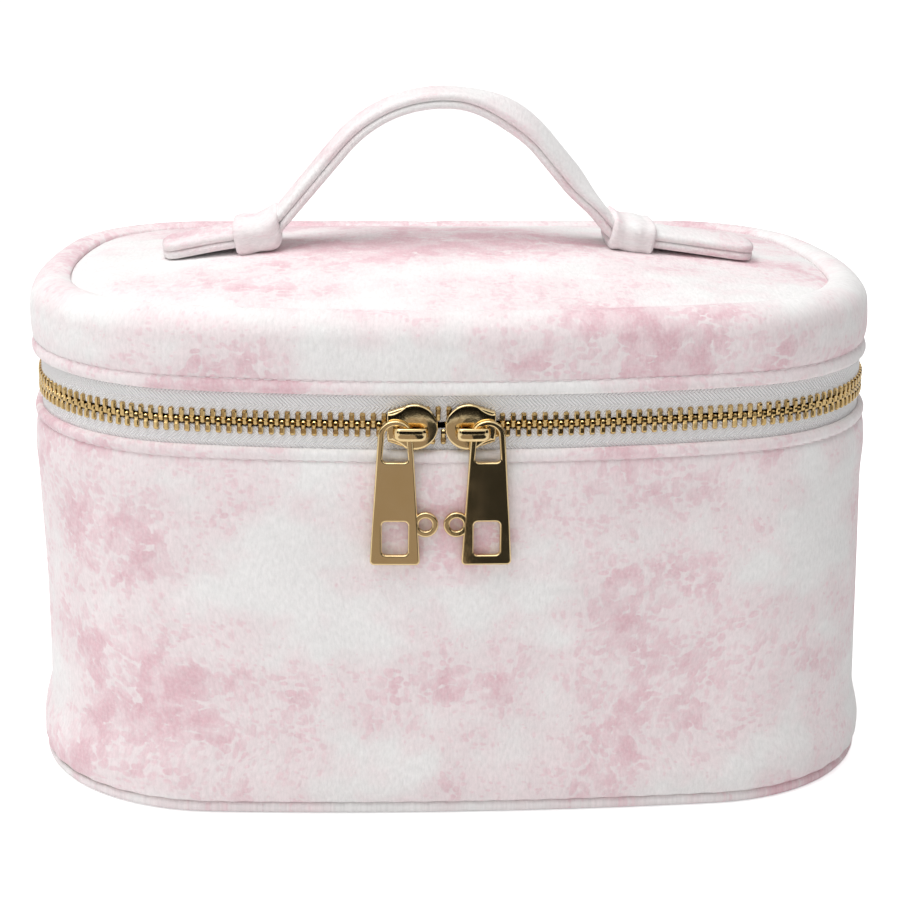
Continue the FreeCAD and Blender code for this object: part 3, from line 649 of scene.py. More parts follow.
def strapSection(halfWidth, halfThick, seam):
    # two soft layers, each rounded at its edge, that meet in a groove at both edges
    edge = [(-seam, 0.0), (-seam * 0.45, 0.10), (-0.12, 0.24), (0.0, 0.42), (-0.05, 0.62), (-0.3, 0.82),
            (-0.8, 0.95), (-1.6, 1.01)]
    top = [(halfWidth + y, halfThick * v) for y, v in edge]
    top += [(halfWidth * t, halfThick * (1.05 + 0.05 * (1 - t * t))) for t in (0.55, 0.28, 0.0, -0.28, -0.55)]
    top += [(-(halfWidth + y), halfThick * v) for y, v in reversed(edge)]
    return top + [(-y, -v) for y, v in top[1:-1]]


def makeStrap():
    s = strapForm
    line, normal, along = strapLine()
    rings = []
    for (x, z), (nx, nz), at in zip(line, normal, along):
        d = min(at - along[0], along[-1] - at)
        trim = s["tip"] - math.sqrt(max(0.0, s["tip"] ** 2 - max(0.0, s["tip"] - d) ** 2))
        width = s["width"] / 2 - trim * 0.95
        thick = s["thick"] / 2 * (0.8 + 0.2 * min(1.0, d / 1.6)) * (1 + 0.025 * math.sin(at / 7.0))
        sway = 0.25 * math.sin(at / 19.0)
        z -= s["settle"] * ease(min(1.0, max(0.0, (-at - s["settleFrom"]) / s["settleOver"])))
        turned = float(np.interp(at, s["twistAt"], (0, 1, 1, 0)))   # the right flank turns its face to the front
        turned = math.radians(s["twist"]) * ease(turned)
        ring = []
        for y, v in strapSection(width, thick, s["seam"]):
            y, v = y * math.cos(turned) - v * math.sin(turned), y * math.sin(turned) + v * math.cos(turned)
            ring.append((x + nx * v, y + sway, z + nz * v))
        rings.append(np.array(ring))
    n, m = len(rings[0]), len(rings)
    us, girth = along + s["printFrom"], np.linspace(0, 2 * (s["width"] + s["thick"]), n + 1)
    faces, uvs = [], []
    for i in range(m - 1):
        for j in range(n):
            k = (j + 1) % n
            faces.append((i * n + j, (i + 1) * n + j, (i + 1) * n + k, i * n + k))
            uvs += [(us[i], girth[j]), (us[i + 1], girth[j]), (us[i + 1], girth[j + 1]), (us[i], girth[j + 1])]
    for row in (0, m - 1):
        faces.append([row * n + j for j in range(n)])
        uvs += [(us[row], girth[j]) for j in range(n)]
    piece = addPiece("strap", np.concatenate(rings), faces, uvs, velvet)
    settle(piece, None, "printed_velvet", "left_strap_end", "right_strap_end", "handle_top_strip",
           "handle_under_strip")
    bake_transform(piece)
    return piece


# belt loops: straight folded bands over the strap
keeperForm = {"corner": 2.4, "crown": 0.35, "ridges": 2.0, "ridge": 0.18, "slope": 12.0, "flare": 0.6, "hem": 0.5,
              "girth": 48.0, "printFrom": 690.0, "printStep": 12.0, "rows": 24, "rowPrint": 0.6,
              "left": (0.3, 12.0), "right": (1.5, 11.4)}   # how far each is pushed out, its length


def roundedBox(halfWide, halfHigh, corner, crown):
    # section with round corners and slightly crowned long sides, 48 points
    signs = ((1, 1), (-1, 1), (-1, -1), (1, -1))
    loop = []
    for quarter, (sy, sz) in enumerate(signs):
        for k in range(7):
            a = math.radians(90 * quarter + 15 * k)
            loop.append((sy * (halfWide - corner) + corner * math.cos(a),
                         sz * (halfHigh - corner) + corner * math.sin(a)))
        start, (gy, gz) = loop[-1], signs[(quarter + 1) % 4]
        long = quarter % 2 == 0
        goal = (gy * (halfWide - (corner if long else 0)), gz * (halfHigh - (0 if long else corner)))
        for t in [k / 6 for k in range(1, 6)]:
            lift = crown * math.sin(math.pi * t) * (1, 0, -1, 0)[quarter]
            loop.append((start[0] + (goal[0] - start[0]) * t, start[1] + (goal[1] - start[1]) * t + lift))
    return loop


def makeKeeper(sign, name, node, pushed, length):
    s, k = strapForm, keeperForm
    line, _, _ = strapLine()
    middle = s["shift"] + sign * (s["keeperSpacing"] / 2 + pushed)
    seat = np.array([middle, float(np.interp(middle, line[:, 0], line[:, 1]))])
    tilt = math.radians(k["slope"]) * -sign
    run, up = np.array([math.cos(tilt), math.sin(tilt)]), np.array([-math.sin(tilt), math.cos(tilt)])
    rows = k["rows"]
    spots = np.linspace(-1, 1, rows) * length / 2
    strays = np.interp(spots, (line - seat) @ run, (line - seat) @ up)   # how far the strap bends off straight
    halfW, halfT = s["width"] / 2 + s["keeperPlay"], s["thick"] / 2 + s["keeperPlay"]
    rings = []
    for t, outside in [(t, 1) for t in range(rows)] + [(t, 0) for t in reversed(range(rows))]:
        share = 2 * t / (rows - 1) - 1
        edge = max(0.0, 1 - abs(share) ** 12) ** 0.5
        grow = k["hem"] + (s["keeperCloth"] - k["hem"]) * edge
        grow += k["ridge"] * edge * math.sin(k["ridges"] * math.pi * share + sign)
        grow *= outside
        flare = min(k["flare"], abs(strays[t]) / 2) * outside   # snug on the strap inside, straight outside
        centre = seat + run * spots[t] + up * (strays[t] - math.copysign(flare, strays[t]))
        section = roundedBox(halfW + grow, halfT + flare + grow, 1.0 + k["corner"] * grow / 2.0,
                             k["crown"] * outside * edge)
        rings.append(np.array([(centre[0] + up[0] * v, y, centre[1] + up[1] * v) for y, v in section]))
    us = np.linspace(0, k["girth"], len(rings[0]) + 1) + k["printFrom"] + k["printStep"] * sign
    vs = [t * k["rowPrint"] for t in range(len(rings) + 1)]
    return settle(shell(name, rings, us, vs, velvet), "lid", "printed_velvet", node)


makeStrap()
for sign, word in ((-1, "left"), (1, "right")):
    makeKeeper(sign, word + "Keeper", word + "_keeper", *keeperForm[word])
print("strap and keepers made")


# zip: tapes and teeth, in mm
zipForm = {"pitch": 2.54, "toothWidth": 1.15, "thick": 2.2, "leg": 2.9, "head": 0.6, "stopSet": 10.5,
           "stopLength": 2.6, "meet": -6.2, "noseGap": 1.9, "sliderLength": 11.7, "rowClose": 1.35,
           "postOffset": 2.9, "postLength": 3.4, "spread": 1.7, "reach": 10.0, "edge": 1.08, "tapeHalf": 0.3,
           "noseHalf": 1.7, "noseEdge": 0.8, "tailAt": (0.0, 2.0, 4.5, 6.2, 7.5, 8.8, 12.0),
           "tail": (1.0, 0.8, 0.5, 0.18, 0.18, 1.2)}


def partedFrom():
    # how far from their meeting place the sliders begin to part the rows, and hold them fully parted
    z = zipForm
    middle = (z["noseGap"] + z["sliderLength"]) / 2
    return middle + z["sliderLength"] / 2 - z["rowClose"], middle - z["postOffset"] + z["postLength"] / 2


def zipPath():
    # from one rear corner round the front to the other
    points, normals = samplePlan(planArcs()[1:-1], 4, planSteps[1:-1], last=True)
    return points, normals, lengthsAlong(points, closed=False)


def meetAt(total):
    # where the sliders meet, along the zip
    return total / 2 - caseForm["frontBow"] * math.asin(zipForm["meet"] / caseForm["frontBow"])


def makeTapeHalf(name, side, body, node):
    z, c = zipForm, caseForm
    points, normals, along = zipPath()
    reach, full = [r + z["toothWidth"] for r in partedFrom()]
    away = np.abs(along - meetAt(along[-1]))
    near = z["edge"] + z["spread"] * np.clip((reach - away) / (reach - full), 0, 1)
    near = np.where(away < z["noseHalf"], z["noseEdge"], near)   # between the noses it springs back
    ends = np.minimum(along, along[-1] - along)
    tail = np.interp(ends, z["tailAt"], (*z["tail"], z["edge"]))
    near = np.where(ends < z["tailAt"][-1], tail, near)   # closed past the stops, with room for the hinge to turn
    half, shares = z["tapeHalf"], (0.0, 0.05, 0.5, 1.0)
    rows = [(t, -half) for t in shares] + [(t, half) for t in reversed(shares)]
    rings = [np.column_stack([points + normals * out, c["zip"] + side * (near + (z["reach"] - 0.05 - near) * t)])
             for t, out in rows]
    vs = [100 + side * 9 * t for t, _ in rows] + [100.0]
    piece = shell(name, rings, along, vs, tapeCloth, closedRound=False, caps=True)
    return settle(piece, body, "zip_tape_weave", node)


def toothMesh(side):
    # clamped tooth: legs over the tape's edge, a waisted neck and a round-nosed head
    z = zipForm
    half, w, r = z["thick"] / 2, z["toothWidth"] / 2, 0.22   # r cuts the edges
    outline = [(-z["head"] - 0.1, 0.6, 0.6), (-0.42, 0.98, 0.86), (0.25, 1.04, 0.98), (0.7, 0.86, 0.86),
               (1.1, 0.98, 1.0), (2.3, 1.04, 1.0), (2.7, 0.98, 0.9), (z["leg"], 0.74, 0.66)]
    verts = []
    for v, wide, thick in outline:
        a, b = w * wide, half * thick
        quarter = [(b, a - r), (b - r, a), (-b + r, a), (-b, a - r)]
        verts += [(n, s, side * v) for n, s in quarter + [(-n, -s) for n, s in quarter]]
    return faceOut(addPiece("toothPattern", verts, tube(8, len(outline)), smooth=False))


def pathTree(name, material):
    # pieces set along a path at an even pitch, lifted aside where the sliders part the rows
    tree = bpy.data.node_groups.new(name, "GeometryNodeTree")
    face = tree.interface
    for kind, labels in (("Geometry", ("Path",)), ("Float", ("Start", "End", "Meet", "Reach", "Full", "Lift")),
                         ("Int", ("Count",)), ("Object", ("Piece",))):
        for label in labels:
            face.new_socket(label, in_out="INPUT", socket_type="NodeSocket" + kind)
    face.new_socket("Result", in_out="OUTPUT", socket_type="NodeSocketGeometry")
    given = addNode(tree, "NodeGroupInput").outputs
    curve = addNode(tree, "GeometryNodeMeshToCurve", {0: given["Path"]})
    trim = addNode(tree, "GeometryNodeTrimCurve", {"Curve": curve.outputs[0]}, mode="LENGTH")
    lengths = [s for s in trim.inputs if s.name in ("Start", "End") and s.enabled]
    tree.links.new(given["Start"], lengths[0])
    tree.links.new(given["End"], lengths[1])
    even = addNode(tree, "GeometryNodeResampleCurve", {"Curve": trim.outputs[0], "Count": given["Count"]})
    along = addNode(tree, "GeometryNodeSplineParameter").outputs["Length"]
    place = sums(tree, "ADD", along, given["Start"])
    away = sums(tree, "ABSOLUTE", sums(tree, "SUBTRACT", place, given["Meet"]))
    share = addNode(tree, "ShaderNodeMapRange", {"Value": away, "From Min": given["Reach"],
                                                 "From Max": given["Full"], "To Max": given["Lift"]})
    lift = addNode(tree, "ShaderNodeCombineXYZ", {2: share.outputs[0]})
    moved = addNode(tree, "GeometryNodeSetPosition", {"Geometry": even.outputs[0], "Offset": lift.outputs[0]})
    tangent = addNode(tree, "GeometryNodeInputTangent").outputs[0]
    turn = addNode(tree, "FunctionNodeAlignRotationToVector", {"Vector": tangent}, axis="Y", pivot_axis="Z")
    source = addNode(tree, "GeometryNodeObjectInfo", {"Object": given["Piece"]})
    placed = addNode(tree, "GeometryNodeInstanceOnPoints",
                     {"Points": moved.outputs[0], "Instance": source.outputs["Geometry"],
                      "Rotation": turn.outputs[0]})
    real = addNode(tree, "GeometryNodeRealizeInstances", {0: placed.outputs[0]})
    painted = addNode(tree, "GeometryNodeSetMaterial", {"Geometry": real.outputs[0]}, {"Material": material})
    addNode(tree, "NodeGroupOutput", {0: painted.outputs[0]})
    return tree


def setAlong(name, tree, path, values, pattern):
    # runs the tree on a path and keeps the result as a plain mesh
    mesh = bpy.data.meshes.new(name + "Path")
    mesh.from_pydata([tuple(p * mm) for p in path], [(i, i + 1) for i in range(len(path) - 1)], [])
    carrier = addObject(name + "Path", mesh)
    modifier = carrier.modifiers.new("along", "NODES")
    modifier.node_group = tree
    ids = {item.name: item.identifier for item in tree.interface.items_tree if item.in_out == "INPUT"}
    for label, value in values.items():
        modifier[ids[label]] = value
    modifier[ids["Piece"]] = pattern
    view = bpy.context.evaluated_depsgraph_get()
    made = bpy.data.meshes.new_from_object(carrier.evaluated_get(view))
    made.name = name
    piece = addObject(name, made)
    bpy.data.objects.remove(carrier)
    bpy.data.objects.remove(pattern)
    return piece


def makeTeeth(name, side, tree, body, node):
    z = zipForm
    points, _, along = zipPath()
    total = along[-1]
    margin = z["stopSet"] + z["stopLength"] / 2 + z["toothWidth"]
    count = int((total - 2 * margin) / z["pitch"])
    first = (total - (count - 0.5) * z["pitch"]) / 2 + (side + 1) * z["pitch"] / 4
    reach, full = partedFrom()
    values = {"Start": first * mm, "End": (first + (count - 1) * z["pitch"]) * mm, "Count": count,
              "Meet": meetAt(total) * mm, "Reach": reach * mm, "Full": full * mm, "Lift": side * z["spread"] * mm}
    piece = setAlong(name, tree, atHeights(points, caseForm["zip"]), values, toothMesh(side))
    return hand(piece, body, "gold_plate", node)


makeTapeHalf("lowerTape", -1, "case", "lower_zip_tape")
makeTapeHalf("upperTape", 1, "lid", "upper_zip_tape")
toothTree = pathTree("teethAlongTape", toothGold)
makeTeeth("lowerTeeth", -1, toothTree, "case", "lower_zip_teeth")
makeTeeth("upperTeeth", 1, toothTree, "lid", "upper_zip_teeth")
print("zip tapes and teeth made")


# lock stitches sunk in the groove beside each lip
stitchForm = {"pitch": 3.2, "length": 2.2, "thick": 0.42, "sag": 0.16, "out": 0.82}


def stitchMesh():
    s = stitchForm
    shape = ((-1, 0.15), (-0.8, 0.75), (-0.3, 1.0), (0.3, 1.0), (0.8, 0.75), (1, 0.15))   # place, thickness
    verts = []
    for t, size in shape:
        for a in [math.pi * i / 3 for i in range(6)]:
            verts.append((s["thick"] / 2 * size * math.cos(a) - s["sag"] * t * t, t * s["length"] / 2,
                          s["thick"] / 2 * size * math.sin(a)))
    return addPiece("stitchPattern", verts, tube(6, len(shape)))


def makeStitches(name, z, tree, body):
    points, _ = samplePlan(planArcs(caseForm["face"] + stitchForm["out"]), 3)
    ring = leaned(points, z)
    ring = np.vstack([ring, ring[:1]])
    total = lengthsAlong(ring, closed=False)[-1]
    count = int(total / stitchForm["pitch"])
    values = {"Start": 0.0, "End": total * (1 - 1 / count) * mm, "Count": count, "Meet": 0.0, "Reach": 0.001,
              "Full": 0.0, "Lift": 0.0}
    return hand(setAlong(name, tree, ring, values, stitchMesh()), body, "printed_velvet")


stitchTree = pathTree("stitchesAlongSeam", thread)
makeStitches("bodyStitches", caseForm["wallTop"] + 0.05, stitchTree, "case")
makeStitches("lidStitches", caseForm["bandBottom"] + 0.02, stitchTree, "lid")
print("stitches made")


# inside: lining, bindings and the hinge at the back
liningForm = {"low": 5.8, "high": 93.8, "fold": 94.45, "gap": 0.02, "slack": 0.35}


def makeWallLining():
    f, face, back = liningForm, caseForm["liningFace"], caseForm["foamFace"] - liningForm["gap"]
    rows = [(face, z) for z in np.linspace(f["low"], f["high"], 30)] + [(face + 0.35, f["fold"])]
    rows += [(back, z) for z in (f["fold"], 60.0, 30.0, f["low"])]

    def soften(us, z, out):
        if out != face:
            return 0.0
        u, fade = us[:-1], min(1.0, (z - f["low"]) / 10) * min(1.0, (94 - z) / 6)
        return -f["slack"] * fade * (0.5 + 0.5 * np.sin(u / 6.0 + np.sin(u / 31.0) * 2 + z / 40.0))
    rings, us, _ = carried(rows, 2, soften, wallSize)
    piece = shell("wallLining", rings, us, [z for _, z in rows] + [rows[0][1]], lining)
    return settle(piece, "case", "lining_cloth", "wall_lining")


hingeForm = {"columns": 60, "trim": 0.05, "printAt": (900.0, 90.0)}


def makeHinge(name, profile, material, slot, node, past=0.0):
    f, corner, rear = hingeForm, caseForm["rearCorner"], caseForm["depth"] / 2
    half = planArcs()[0][1][0] - f["trim"]
    xs = np.linspace(-half - past, half + past, f["columns"])
    turn = np.maximum(0.0, np.abs(xs) - half) / corner   # past the hinge it follows the rear corners
    rings = []
    for out, z in profile:
        side = np.sign(xs) * (np.minimum(np.abs(xs), half) + (corner + out) * np.sin(turn))
        rings.append(np.column_stack([side, rear - corner + (corner + out) * np.cos(turn), np.full(len(xs), z)]))
    us, vs = xs + f["printAt"][0], lengthsAlong(np.array(profile)) + f["printAt"][1]
    piece = shell(name, rings, us, vs, material, closedRound=False, caps=True)
    settle(piece, None, slot, node)
    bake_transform(piece)
    return piece


def makeInside():
    foam, cloth = caseForm["foamFace"], "lining_cloth"
    makeWallLining()
    makePad("floorLining", foam - 0.15,
            [(0.02, 0.0, 5.02), (1.0, 1.0, 5.02), (1.0, 0.0, 5.15), (1.0, 0.0, 5.5), (1.0, 0.5, 5.68),
             (0.97, 0.5, 5.7), (0.6, 0.0, 5.7), (0.02, 0.0, 5.7)],
            lining, "case", cloth, ("base_lining",), wallSize(5.0))
    makePad("lidLining", foam - 0.05,
            [(0.02, 0.0, 119.28), (1.0, 0.3, 119.28), (1.0, 0.0, 119.0), (1.0, 0.0, 108.2), (1.0, 0.15, 107.85),
             (1.0, 0.5, 107.85), (1.0, 0.66, 108.2), (1.0, 0.66, 117.4), (1.0, 1.0, 118.3), (1.0, 2.2, 118.6),
             (0.7, 0.0, 118.6), (0.02, 0.0, 118.6)],
            lining, "lid", cloth, ("lid_top_lining", "lid_band_lining"))
    for name, low, high, body, node in (("bodyBinding", 90.6, 94.45, "case", "body_binding"),
                                        ("lidBinding", 107.85, 110.45, "lid", "lid_binding")):
        mid = (low + high) / 2
        profile = [(-0.35, low), (-0.35, mid), (-0.35, high), (-0.9, high - 0.1), (-1.5, high - 0.4), (-1.65, mid),
                   (-1.5, low + 0.4), (-0.9, low + 0.1)]
        settle(shell(name, *carried(profile), lining), body, cloth, node)
    zs = np.linspace(90.8, 110.2, 40)
    low, high = caseForm["lipTop"], caseForm["lidEdge"]
    soft = [0.9 + 0.35 * math.sin(math.pi * (z - low) / (high - low)) if low < z < high else 0.25 for z in zs]
    makeHinge("hingePanel", list(zip(soft, zs)) + [(-0.25, z) for z in zs[::-1]], velvet, "printed_velvet",
              "hinge_panel")
    zs = np.linspace(94.6, 107.7, 30)
    makeHinge("hingeLining", [(-0.36, z) for z in zs] + [(-1.0, z) for z in zs[::-1]], lining, cloth,
              "hinge_lining", past=8.5)   # it backs the ends of the zip


makeInside()
print("lining and hinge made")

# pulls, bridges and slider faces, cast and polished, in mm
pullForm = {"thick": 1.6, "bevel": 0.42, "outFrom": 2.9, "pivot": -4.05, "crest": 2.05, "length": 35.2,
            "topHalf": 4.1, "footHalf": 5.5, "shoulder": 3.3, "corner": 0.5, "eyeTop": 0.75, "eyeHalf": 2.5,
            "eyeShoulder": 1.8, "eyeLength": 8.4, "eyeCorner": 0.5, "windowHalf": 3.1, "windowLength": 8.3,
            "windowRise": 2.0, "windowCorner": 1.0, "lugAt": 3.2, "lugRise": 9.6, "lugRadius": 3.1, "lugBore": 1.6,
            "lugInset": 0.05}


def onSlider(side):
    # places what is drawn as (along, up, out) at the middle of the front on its slider
    bow, front, z = caseForm["frontBow"], caseForm["depth"] / 2, zipForm
    turn = math.asin(z["meet"] / bow) + side * (z["noseGap"] + z["sliderLength"]) / 2 / bow
    centre = Vector((0, bow - front, 0)) * mm
    seat = Matrix(((-side, 0, 0, 0), (0, 0, -1, -front * mm), (0, 1, 0, caseForm["zip"] * mm), (0, 0, 0, 1)))
    return Matrix.Translation(centre) @ Matrix.Rotation(turn, 4, "Z") @ Matrix.Translation(-centre) @ seat


def roundCorners(points, radius, steps=6):
    # closed outline with each corner turned on an arc of steps + 1 points
    loop = []
    points = [Vector(point) for point in points]
    for i, corner in enumerate(points):
        a, b = (points[i - 1] - corner).normalized(), (points[(i + 1) % len(points)] - corner).normalized()
        half = a.angle(b) / 2
        trim = radius / math.tan(half)
        centre = corner + (a + b).normalized() * (radius / math.sin(half))
        start, end = corner + a * trim - centre, corner + b * trim - centre
        loop += [tuple(centre + start.slerp(end, k / steps, end)) for k in range(steps + 1)]
    return loop


def archedPlate(half, crest, sag, footHalf, foot, corner):
    # outline with an arched top from left to right and two round corners at its foot
    radius = (half * half + sag * sag) / (2 * sag)
    sweep = math.asin(min(1.0, half / radius)) if sag <= half else math.pi - math.asin(half / radius)
    top = [(radius * math.sin(a), crest - radius + radius * math.cos(a)) for a in np.linspace(-sweep, sweep, 25)]
    corners = roundCorners([top[-1], (footHalf, foot), (-footHalf, foot), top[0]], corner)
    quarter = len(corners) // 4
    return top + corners[quarter:3 * quarter]


def flatPlate(name, loops, thick, bevel, out):
    # outline and openings as a flat curve with a rounded edge, made a mesh
    curve = bpy.data.curves.new(name, "CURVE")
    curve.dimensions, curve.fill_mode = "2D", "BOTH"
    curve.extrude, curve.bevel_depth, curve.bevel_resolution = (thick / 2 - bevel) * mm, bevel * mm, 3
    curve.offset = -bevel * mm
    for loop in loops:
        spline = curve.splines.new("POLY")
        spline.points.add(len(loop) - 1)
        for point, (x, y) in zip(spline.points, loop):
            point.co = (x * mm, y * mm, 0, 1)
        spline.use_cyclic_u = True
    carrier = addObject(name, curve)
    mesh = bpy.data.meshes.new_from_object(carrier.evaluated_get(bpy.context.evaluated_depsgraph_get()))
    bpy.data.objects.remove(carrier)
    mesh.transform(Matrix.Translation((0, 0, (out + thick / 2) * mm)))
    return mesh


def placeMetal(name, meshes, side, body, *nodesFor):
    # joins the parts of a casting and sets it on its slider
    mesh = bmesh.new()
    for part in meshes:
        mesh.from_mesh(part)
    bmesh.ops.remove_doubles(mesh, verts=mesh.verts, dist=1e-7)
    bmesh.ops.recalc_face_normals(mesh, faces=mesh.faces)
    rounded = [abs(face.normal.z) < 0.9995 for face in mesh.faces]
    mesh.transform(onSlider(side))
    bmesh.ops.recalc_face_normals(mesh, faces=mesh.faces)
    data = bpy.data.meshes.new(name)
    mesh.to_mesh(data)
    mesh.free()
    data.materials.clear()
    data.materials.append(polishedGold)
    data.set_sharp_from_angle(angle=math.radians(32))
    for polygon, smooth in zip(data.polygons, rounded):
        polygon.material_index = 0
        polygon.use_smooth = smooth   # flat faces stay flat beside their rounded edges
    return hand(addObject(name, data), body, "gold_plate", *nodesFor)


def castMesh(name, rings):
    # closed bar or shield from rows of points in mm
    mesh = bpy.data.meshes.new(name)
    mesh.from_pydata([tuple(v) for v in np.concatenate(rings) * mm], [], tube(len(rings[0]), len(rings)))
    return mesh


def makePull(side, name, body, node):
    f = pullForm
    foot, sill = f["crest"] - f["length"], f["eyeTop"] - f["eyeLength"]
    plate = archedPlate(f["topHalf"], f["crest"], f["shoulder"], f["footHalf"], foot, f["corner"])
    eye = archedPlate(f["eyeHalf"], f["eyeTop"], f["eyeShoulder"], f["eyeHalf"], sill, f["eyeCorner"])
    low, half = foot + f["windowRise"], f["windowHalf"]
    high = low + f["windowLength"]
    window = roundCorners([(half, high), (half, low), (-half, low), (-half, high)], f["windowCorner"])
    loops = [[(x + f["pivot"], y) for x, y in loop] for loop in (plate, eye, window)]
    rings = [[(f["lugAt"] + r * math.cos(a), foot + f["lugRise"] + r * math.sin(a))
              for a in np.linspace(0, math.tau, 48, endpoint=False)] for r in (f["lugRadius"], f["lugBore"])]
    lug = f["lugInset"]
    parts = [flatPlate(name + "Plate", loops, f["thick"], f["bevel"], f["outFrom"]),
             flatPlate(name + "Lug", rings, f["thick"] - 2 * lug, f["bevel"], f["outFrom"] + lug)]
    return placeMetal(name, parts, side, body, node)


bridgeForm = {"shift": -0.45, "reach": 3.6, "seat": 2.3, "crest": 5.55, "turn": 1.5, "halfThick": 0.62,
              "halfHeight": 1.55, "footHeight": 1.15, "drop": 1.0, "square": 0.7, "points": 20}


def makeBridge(side, name, body, node):
    # rounded bar bent over the slider from foot to foot
    f = bridgeForm
    turn, low = f["turn"], f["crest"] - f["turn"]
    line = [(-f["reach"], n) for n in np.linspace(f["seat"], low, 5)]
    line += [(-f["reach"] + turn - turn * math.cos(a), low + turn * math.sin(a))
             for a in np.linspace(0, math.pi / 2, 9)[1:]]
    foot = line[:]
    line += [(d, f["crest"] + 0.12 * (1 - (d / 2.1) ** 2)) for d in np.linspace(-1.7, 1.7, 7)]
    line = np.array(line + [(-d, n) for d, n in reversed(foot)])
    tangent = np.gradient(line, axis=0)
    tangent /= np.linalg.norm(tangent, axis=1)[:, None]
    a = math.tau * np.arange(f["points"]) / f["points"]
    squared = [np.copysign(np.abs(wave) ** f["square"], wave) for wave in (np.sin(a), np.cos(a))]
    rings = []
    for (d, n), (td, tn) in zip(line, tangent):
        rise = min(1.0, max(0.0, (n - f["seat"]) / (f["crest"] - f["seat"])))
        high = f["footHeight"] + (f["halfHeight"] - f["footHeight"]) * rise ** 1.5
        up, off = high * squared[0], f["halfThick"] * squared[1]
        rings.append(np.column_stack([d - tn * off + f["shift"], up - f["drop"], n + td * off]))
    return placeMetal(name, [castMesh(name, rings)], side, body, node)


sliderForm = {"nose": 5.5, "noseAt": 0.45, "tailAt": -5.95, "tailHalf": 3.1, "peakAt": -1.6, "middle": (-0.6, 0.0),
              "seat": 2.2, "face": 2.84,
              "dome": ((1.0, 0.0), (1.0, 0.25), (0.985, 0.36), (0.955, 0.43), (0.9, 0.48), (0.8, 0.53),
                       (0.65, 0.58), (0.45, 0.62), (0.25, 0.64), (0.06, 0.645))}   # share of the outline, rise


def makeSliderFace(side, name, body):
    # shield on the slider's front: round nose, hollow flanks, domed with a soft edge
    f = sliderForm
    start = math.acos((f["peakAt"] - f["noseAt"]) / f["nose"])
    loop = [(f["noseAt"] + f["nose"] * math.cos(a), f["nose"] * math.sin(a))
            for a in np.linspace(-start, start, 41)]
    peak = loop[-1]
    flank = [(peak[0] + (f["tailAt"] - peak[0]) * t, peak[1] + (f["tailHalf"] - peak[1]) * (1 - (1 - t) ** 2.0))
             for t in np.linspace(0, 1, 12)[1:]]
    loop = np.array(loop + flank + [(x, -y) for x, y in reversed(flank)])
    middle, top = np.array(f["middle"]), f["dome"][-1][1]
    rings = [atHeights(middle + (loop - middle) * share, f["seat"] + rise * (f["face"] - f["seat"]) / top)
             for share, rise in f["dome"]]
    return placeMetal(name, [castMesh(name, rings)], side, body)


for side, word in ((-1, "left"), (1, "right")):
    makePull(side, word + "PullPlate", word + "_pull", word + "_pull")
    makeBridge(side, word + "Bridge", word + "_slider", word + "_slider_bridge")
    makeSliderFace(side, word + "SliderFace", word + "_slider")
print("pulls, bridges and slider faces made")

# the remaining hardware keeps its CAD shape and gets its finish
for name, node in nodes.items():
    if node.hide_render:
        continue
    # the stops take the teeth's gold, with its painted shade
    finish = polishedGold if "pull" in name or "slider" in name else toothGold if "stops" in name else board
    node.data.materials.clear()
    node.data.materials.append(finish)
print("CAD nodes shown:", [n for n, o in nodes.items() if not o.hide_render])


# stage: pale floor, soft light, camera at the photograph's place
stageForm = {"floorHalf": 3000, "floorDrop": 0.2, "grain": 1000 / 60, "glow": 0.62, "skyLow": 0.375, "skySeen": 1.0}
cameraFit = {"distance": 0.60829, "elevation": 16.172, "aim": (0.00011, 0.0, 0.07619), "yaw": 3.824,
             "roll": -0.643, "lens": 91.623}


def makeFloor():
    f, half = stageForm, stageForm["floorHalf"]
    corners = [(-half, -half, 0), (half, -half, 0), (half, half, 0), (-half, half, 0)]
    floor = addPiece("floor", corners, [(0, 1, 2, 3)])
    floor.data.transform(Matrix.Translation((0, 0, -f["floorDrop"] * mm)))
    material, tree, shader = newMaterial("paleStudioFloor")
    pale = mixed(tree, noise(tree, partPlace(tree), f["grain"], 2.0), "#FBFBFB", "#FEFEFE")
    tree.links.new(pale, shader.inputs["Base Color"])
    shader.inputs["Roughness"].default_value = 0.9
    shader.inputs["Emission Color"].default_value = (1, 1, 1, 1)
    ray = addNode(tree, "ShaderNodeLightPath").outputs["Is Camera Ray"]
    tree.links.new(remap(tree, ray, toHigh=f["glow"]), shader.inputs["Emission Strength"])
    floor.data.materials.append(material)


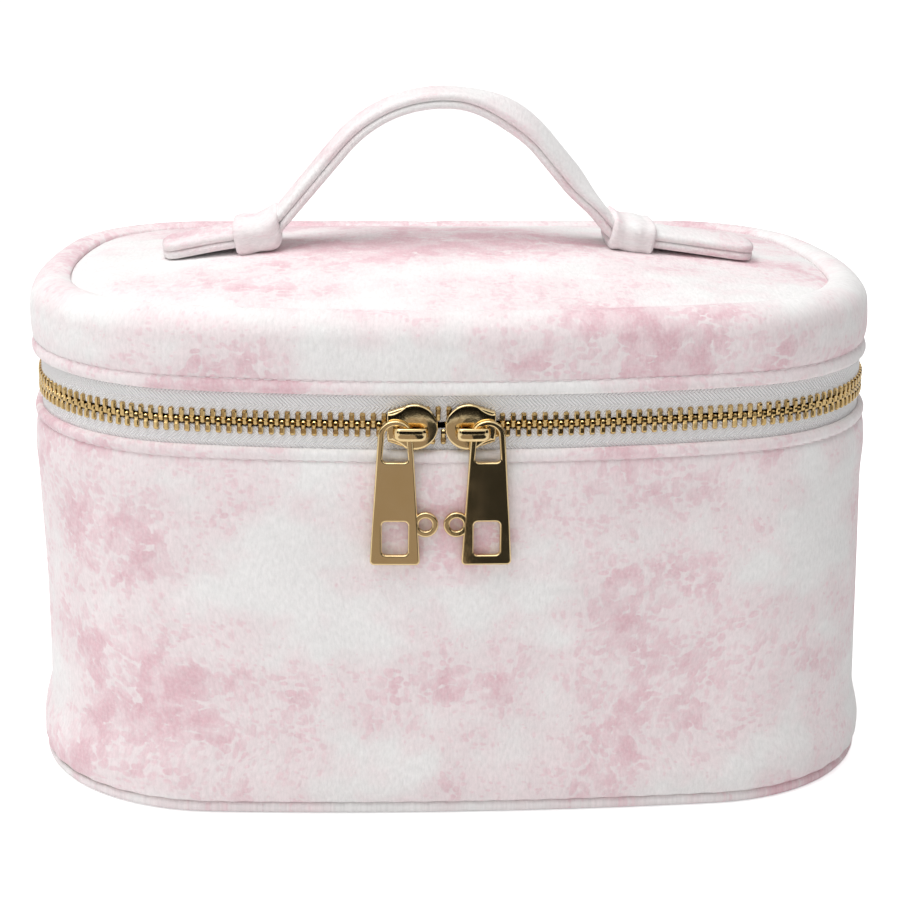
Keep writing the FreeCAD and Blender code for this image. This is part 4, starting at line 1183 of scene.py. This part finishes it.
def makeCards():
    # matt cards that only the polished metal sees
    paints = {}
    for name, code in (("blackStudioCard", "#060504"), ("greyStudioCard", "#A2968C")):
        paints[name], tree, shader = newMaterial(name)
        shader.inputs["Base Color"].default_value = linear(code)
        shader.inputs["Roughness"].default_value = 1.0
    black, grey = paints.values()
    cards = (("cardRight", (14, -520, 2), (220, -520, 2), (0, 305, 0), black),
             ("cardLeft", (-220, -520, 2), (14, -520, 2), (0, 305, 0), grey),
             ("cardFloor", (-500, -900, 2), (500, -900, 2), (0, 330, 0), black),
             ("cardFront", (-700, -900, 0), (700, -900, 0), (0, 0, 330), black),
             ("cardSide", (620, -700, 0), (620, -100, 0), (0, 0, 420), black),
             ("cardFar", (-620, -700, 0), (-620, -350, 0), (0, 0, 300), black))   # two corners, way to the others
    for name, first, second, way, paint in cards:
        corners = np.array([first, second, np.add(second, way), np.add(first, way)])
        card = addPiece(name, corners, [(0, 1, 2, 3)], None, paint)
        for kind in ("camera", "diffuse", "transmission", "shadow", "volume_scatter"):
            setattr(card, "visible_" + kind, False)


def makeLights():
    world = bpy.data.worlds.new("studio")
    bpy.context.scene.world = world
    world.use_nodes = True
    tree = world.node_tree
    tree.nodes.clear()
    path = addNode(tree, "ShaderNodeLightPath").outputs
    seen = sums(tree, "MAXIMUM", path["Is Camera Ray"], path["Is Glossy Ray"])
    level = remap(tree, seen, toLow=stageForm["skyLow"], toHigh=stageForm["skySeen"])
    sky = addNode(tree, "ShaderNodeBackground", {"Strength": level}, {"Color": (1, 1, 1, 1)})
    addNode(tree, "ShaderNodeOutputWorld", {0: sky.outputs[0]})
    for name, spot, aim, size, power in (("topLight", (-0.3, -0.15, 1.3), (0, 0, 0.1), 1.1, 14.6),
                                         ("keyLight", (-0.9, -0.85, 0.7), (0, 0, 0.07), 0.8, 2.0)):
        light = bpy.data.lights.new(name, "AREA")
        light.size, light.energy = size, power
        lamp = addObject(name, light)
        lamp.location = spot
        lamp.rotation_euler = (Vector(aim) - Vector(spot)).to_track_quat("-Z", "Y").to_euler()


def makeCamera():
    f = cameraFit
    e, yaw, roll = [math.radians(f[k]) for k in ("elevation", "yaw", "roll")]
    right, up = Vector((1, 0, 0)), Vector((0, math.sin(e), math.cos(e)))
    back = Vector((0, -math.cos(e), math.sin(e)))
    across = right * math.cos(roll) - up * math.sin(roll)
    above = right * math.sin(roll) + up * math.cos(roll)
    turn = Matrix.Rotation(-yaw, 3, "Z")
    axes = Matrix((turn @ across, turn @ above, turn @ back)).transposed()
    data = bpy.data.cameras.new("camera")
    data.lens, data.sensor_width = f["lens"], 36.0
    data.clip_start, data.clip_end = 0.01, 20.0
    camera = addObject("camera", data)
    camera.matrix_world = Matrix.Translation(turn @ (Vector(f["aim"]) + back * f["distance"])) @ axes.to_4x4()
    bpy.context.scene.camera = camera
    bpy.context.scene.view_settings.view_transform = "Standard"


makeFloor()
makeCards()
makeLights()
makeCamera()
print("stage set")
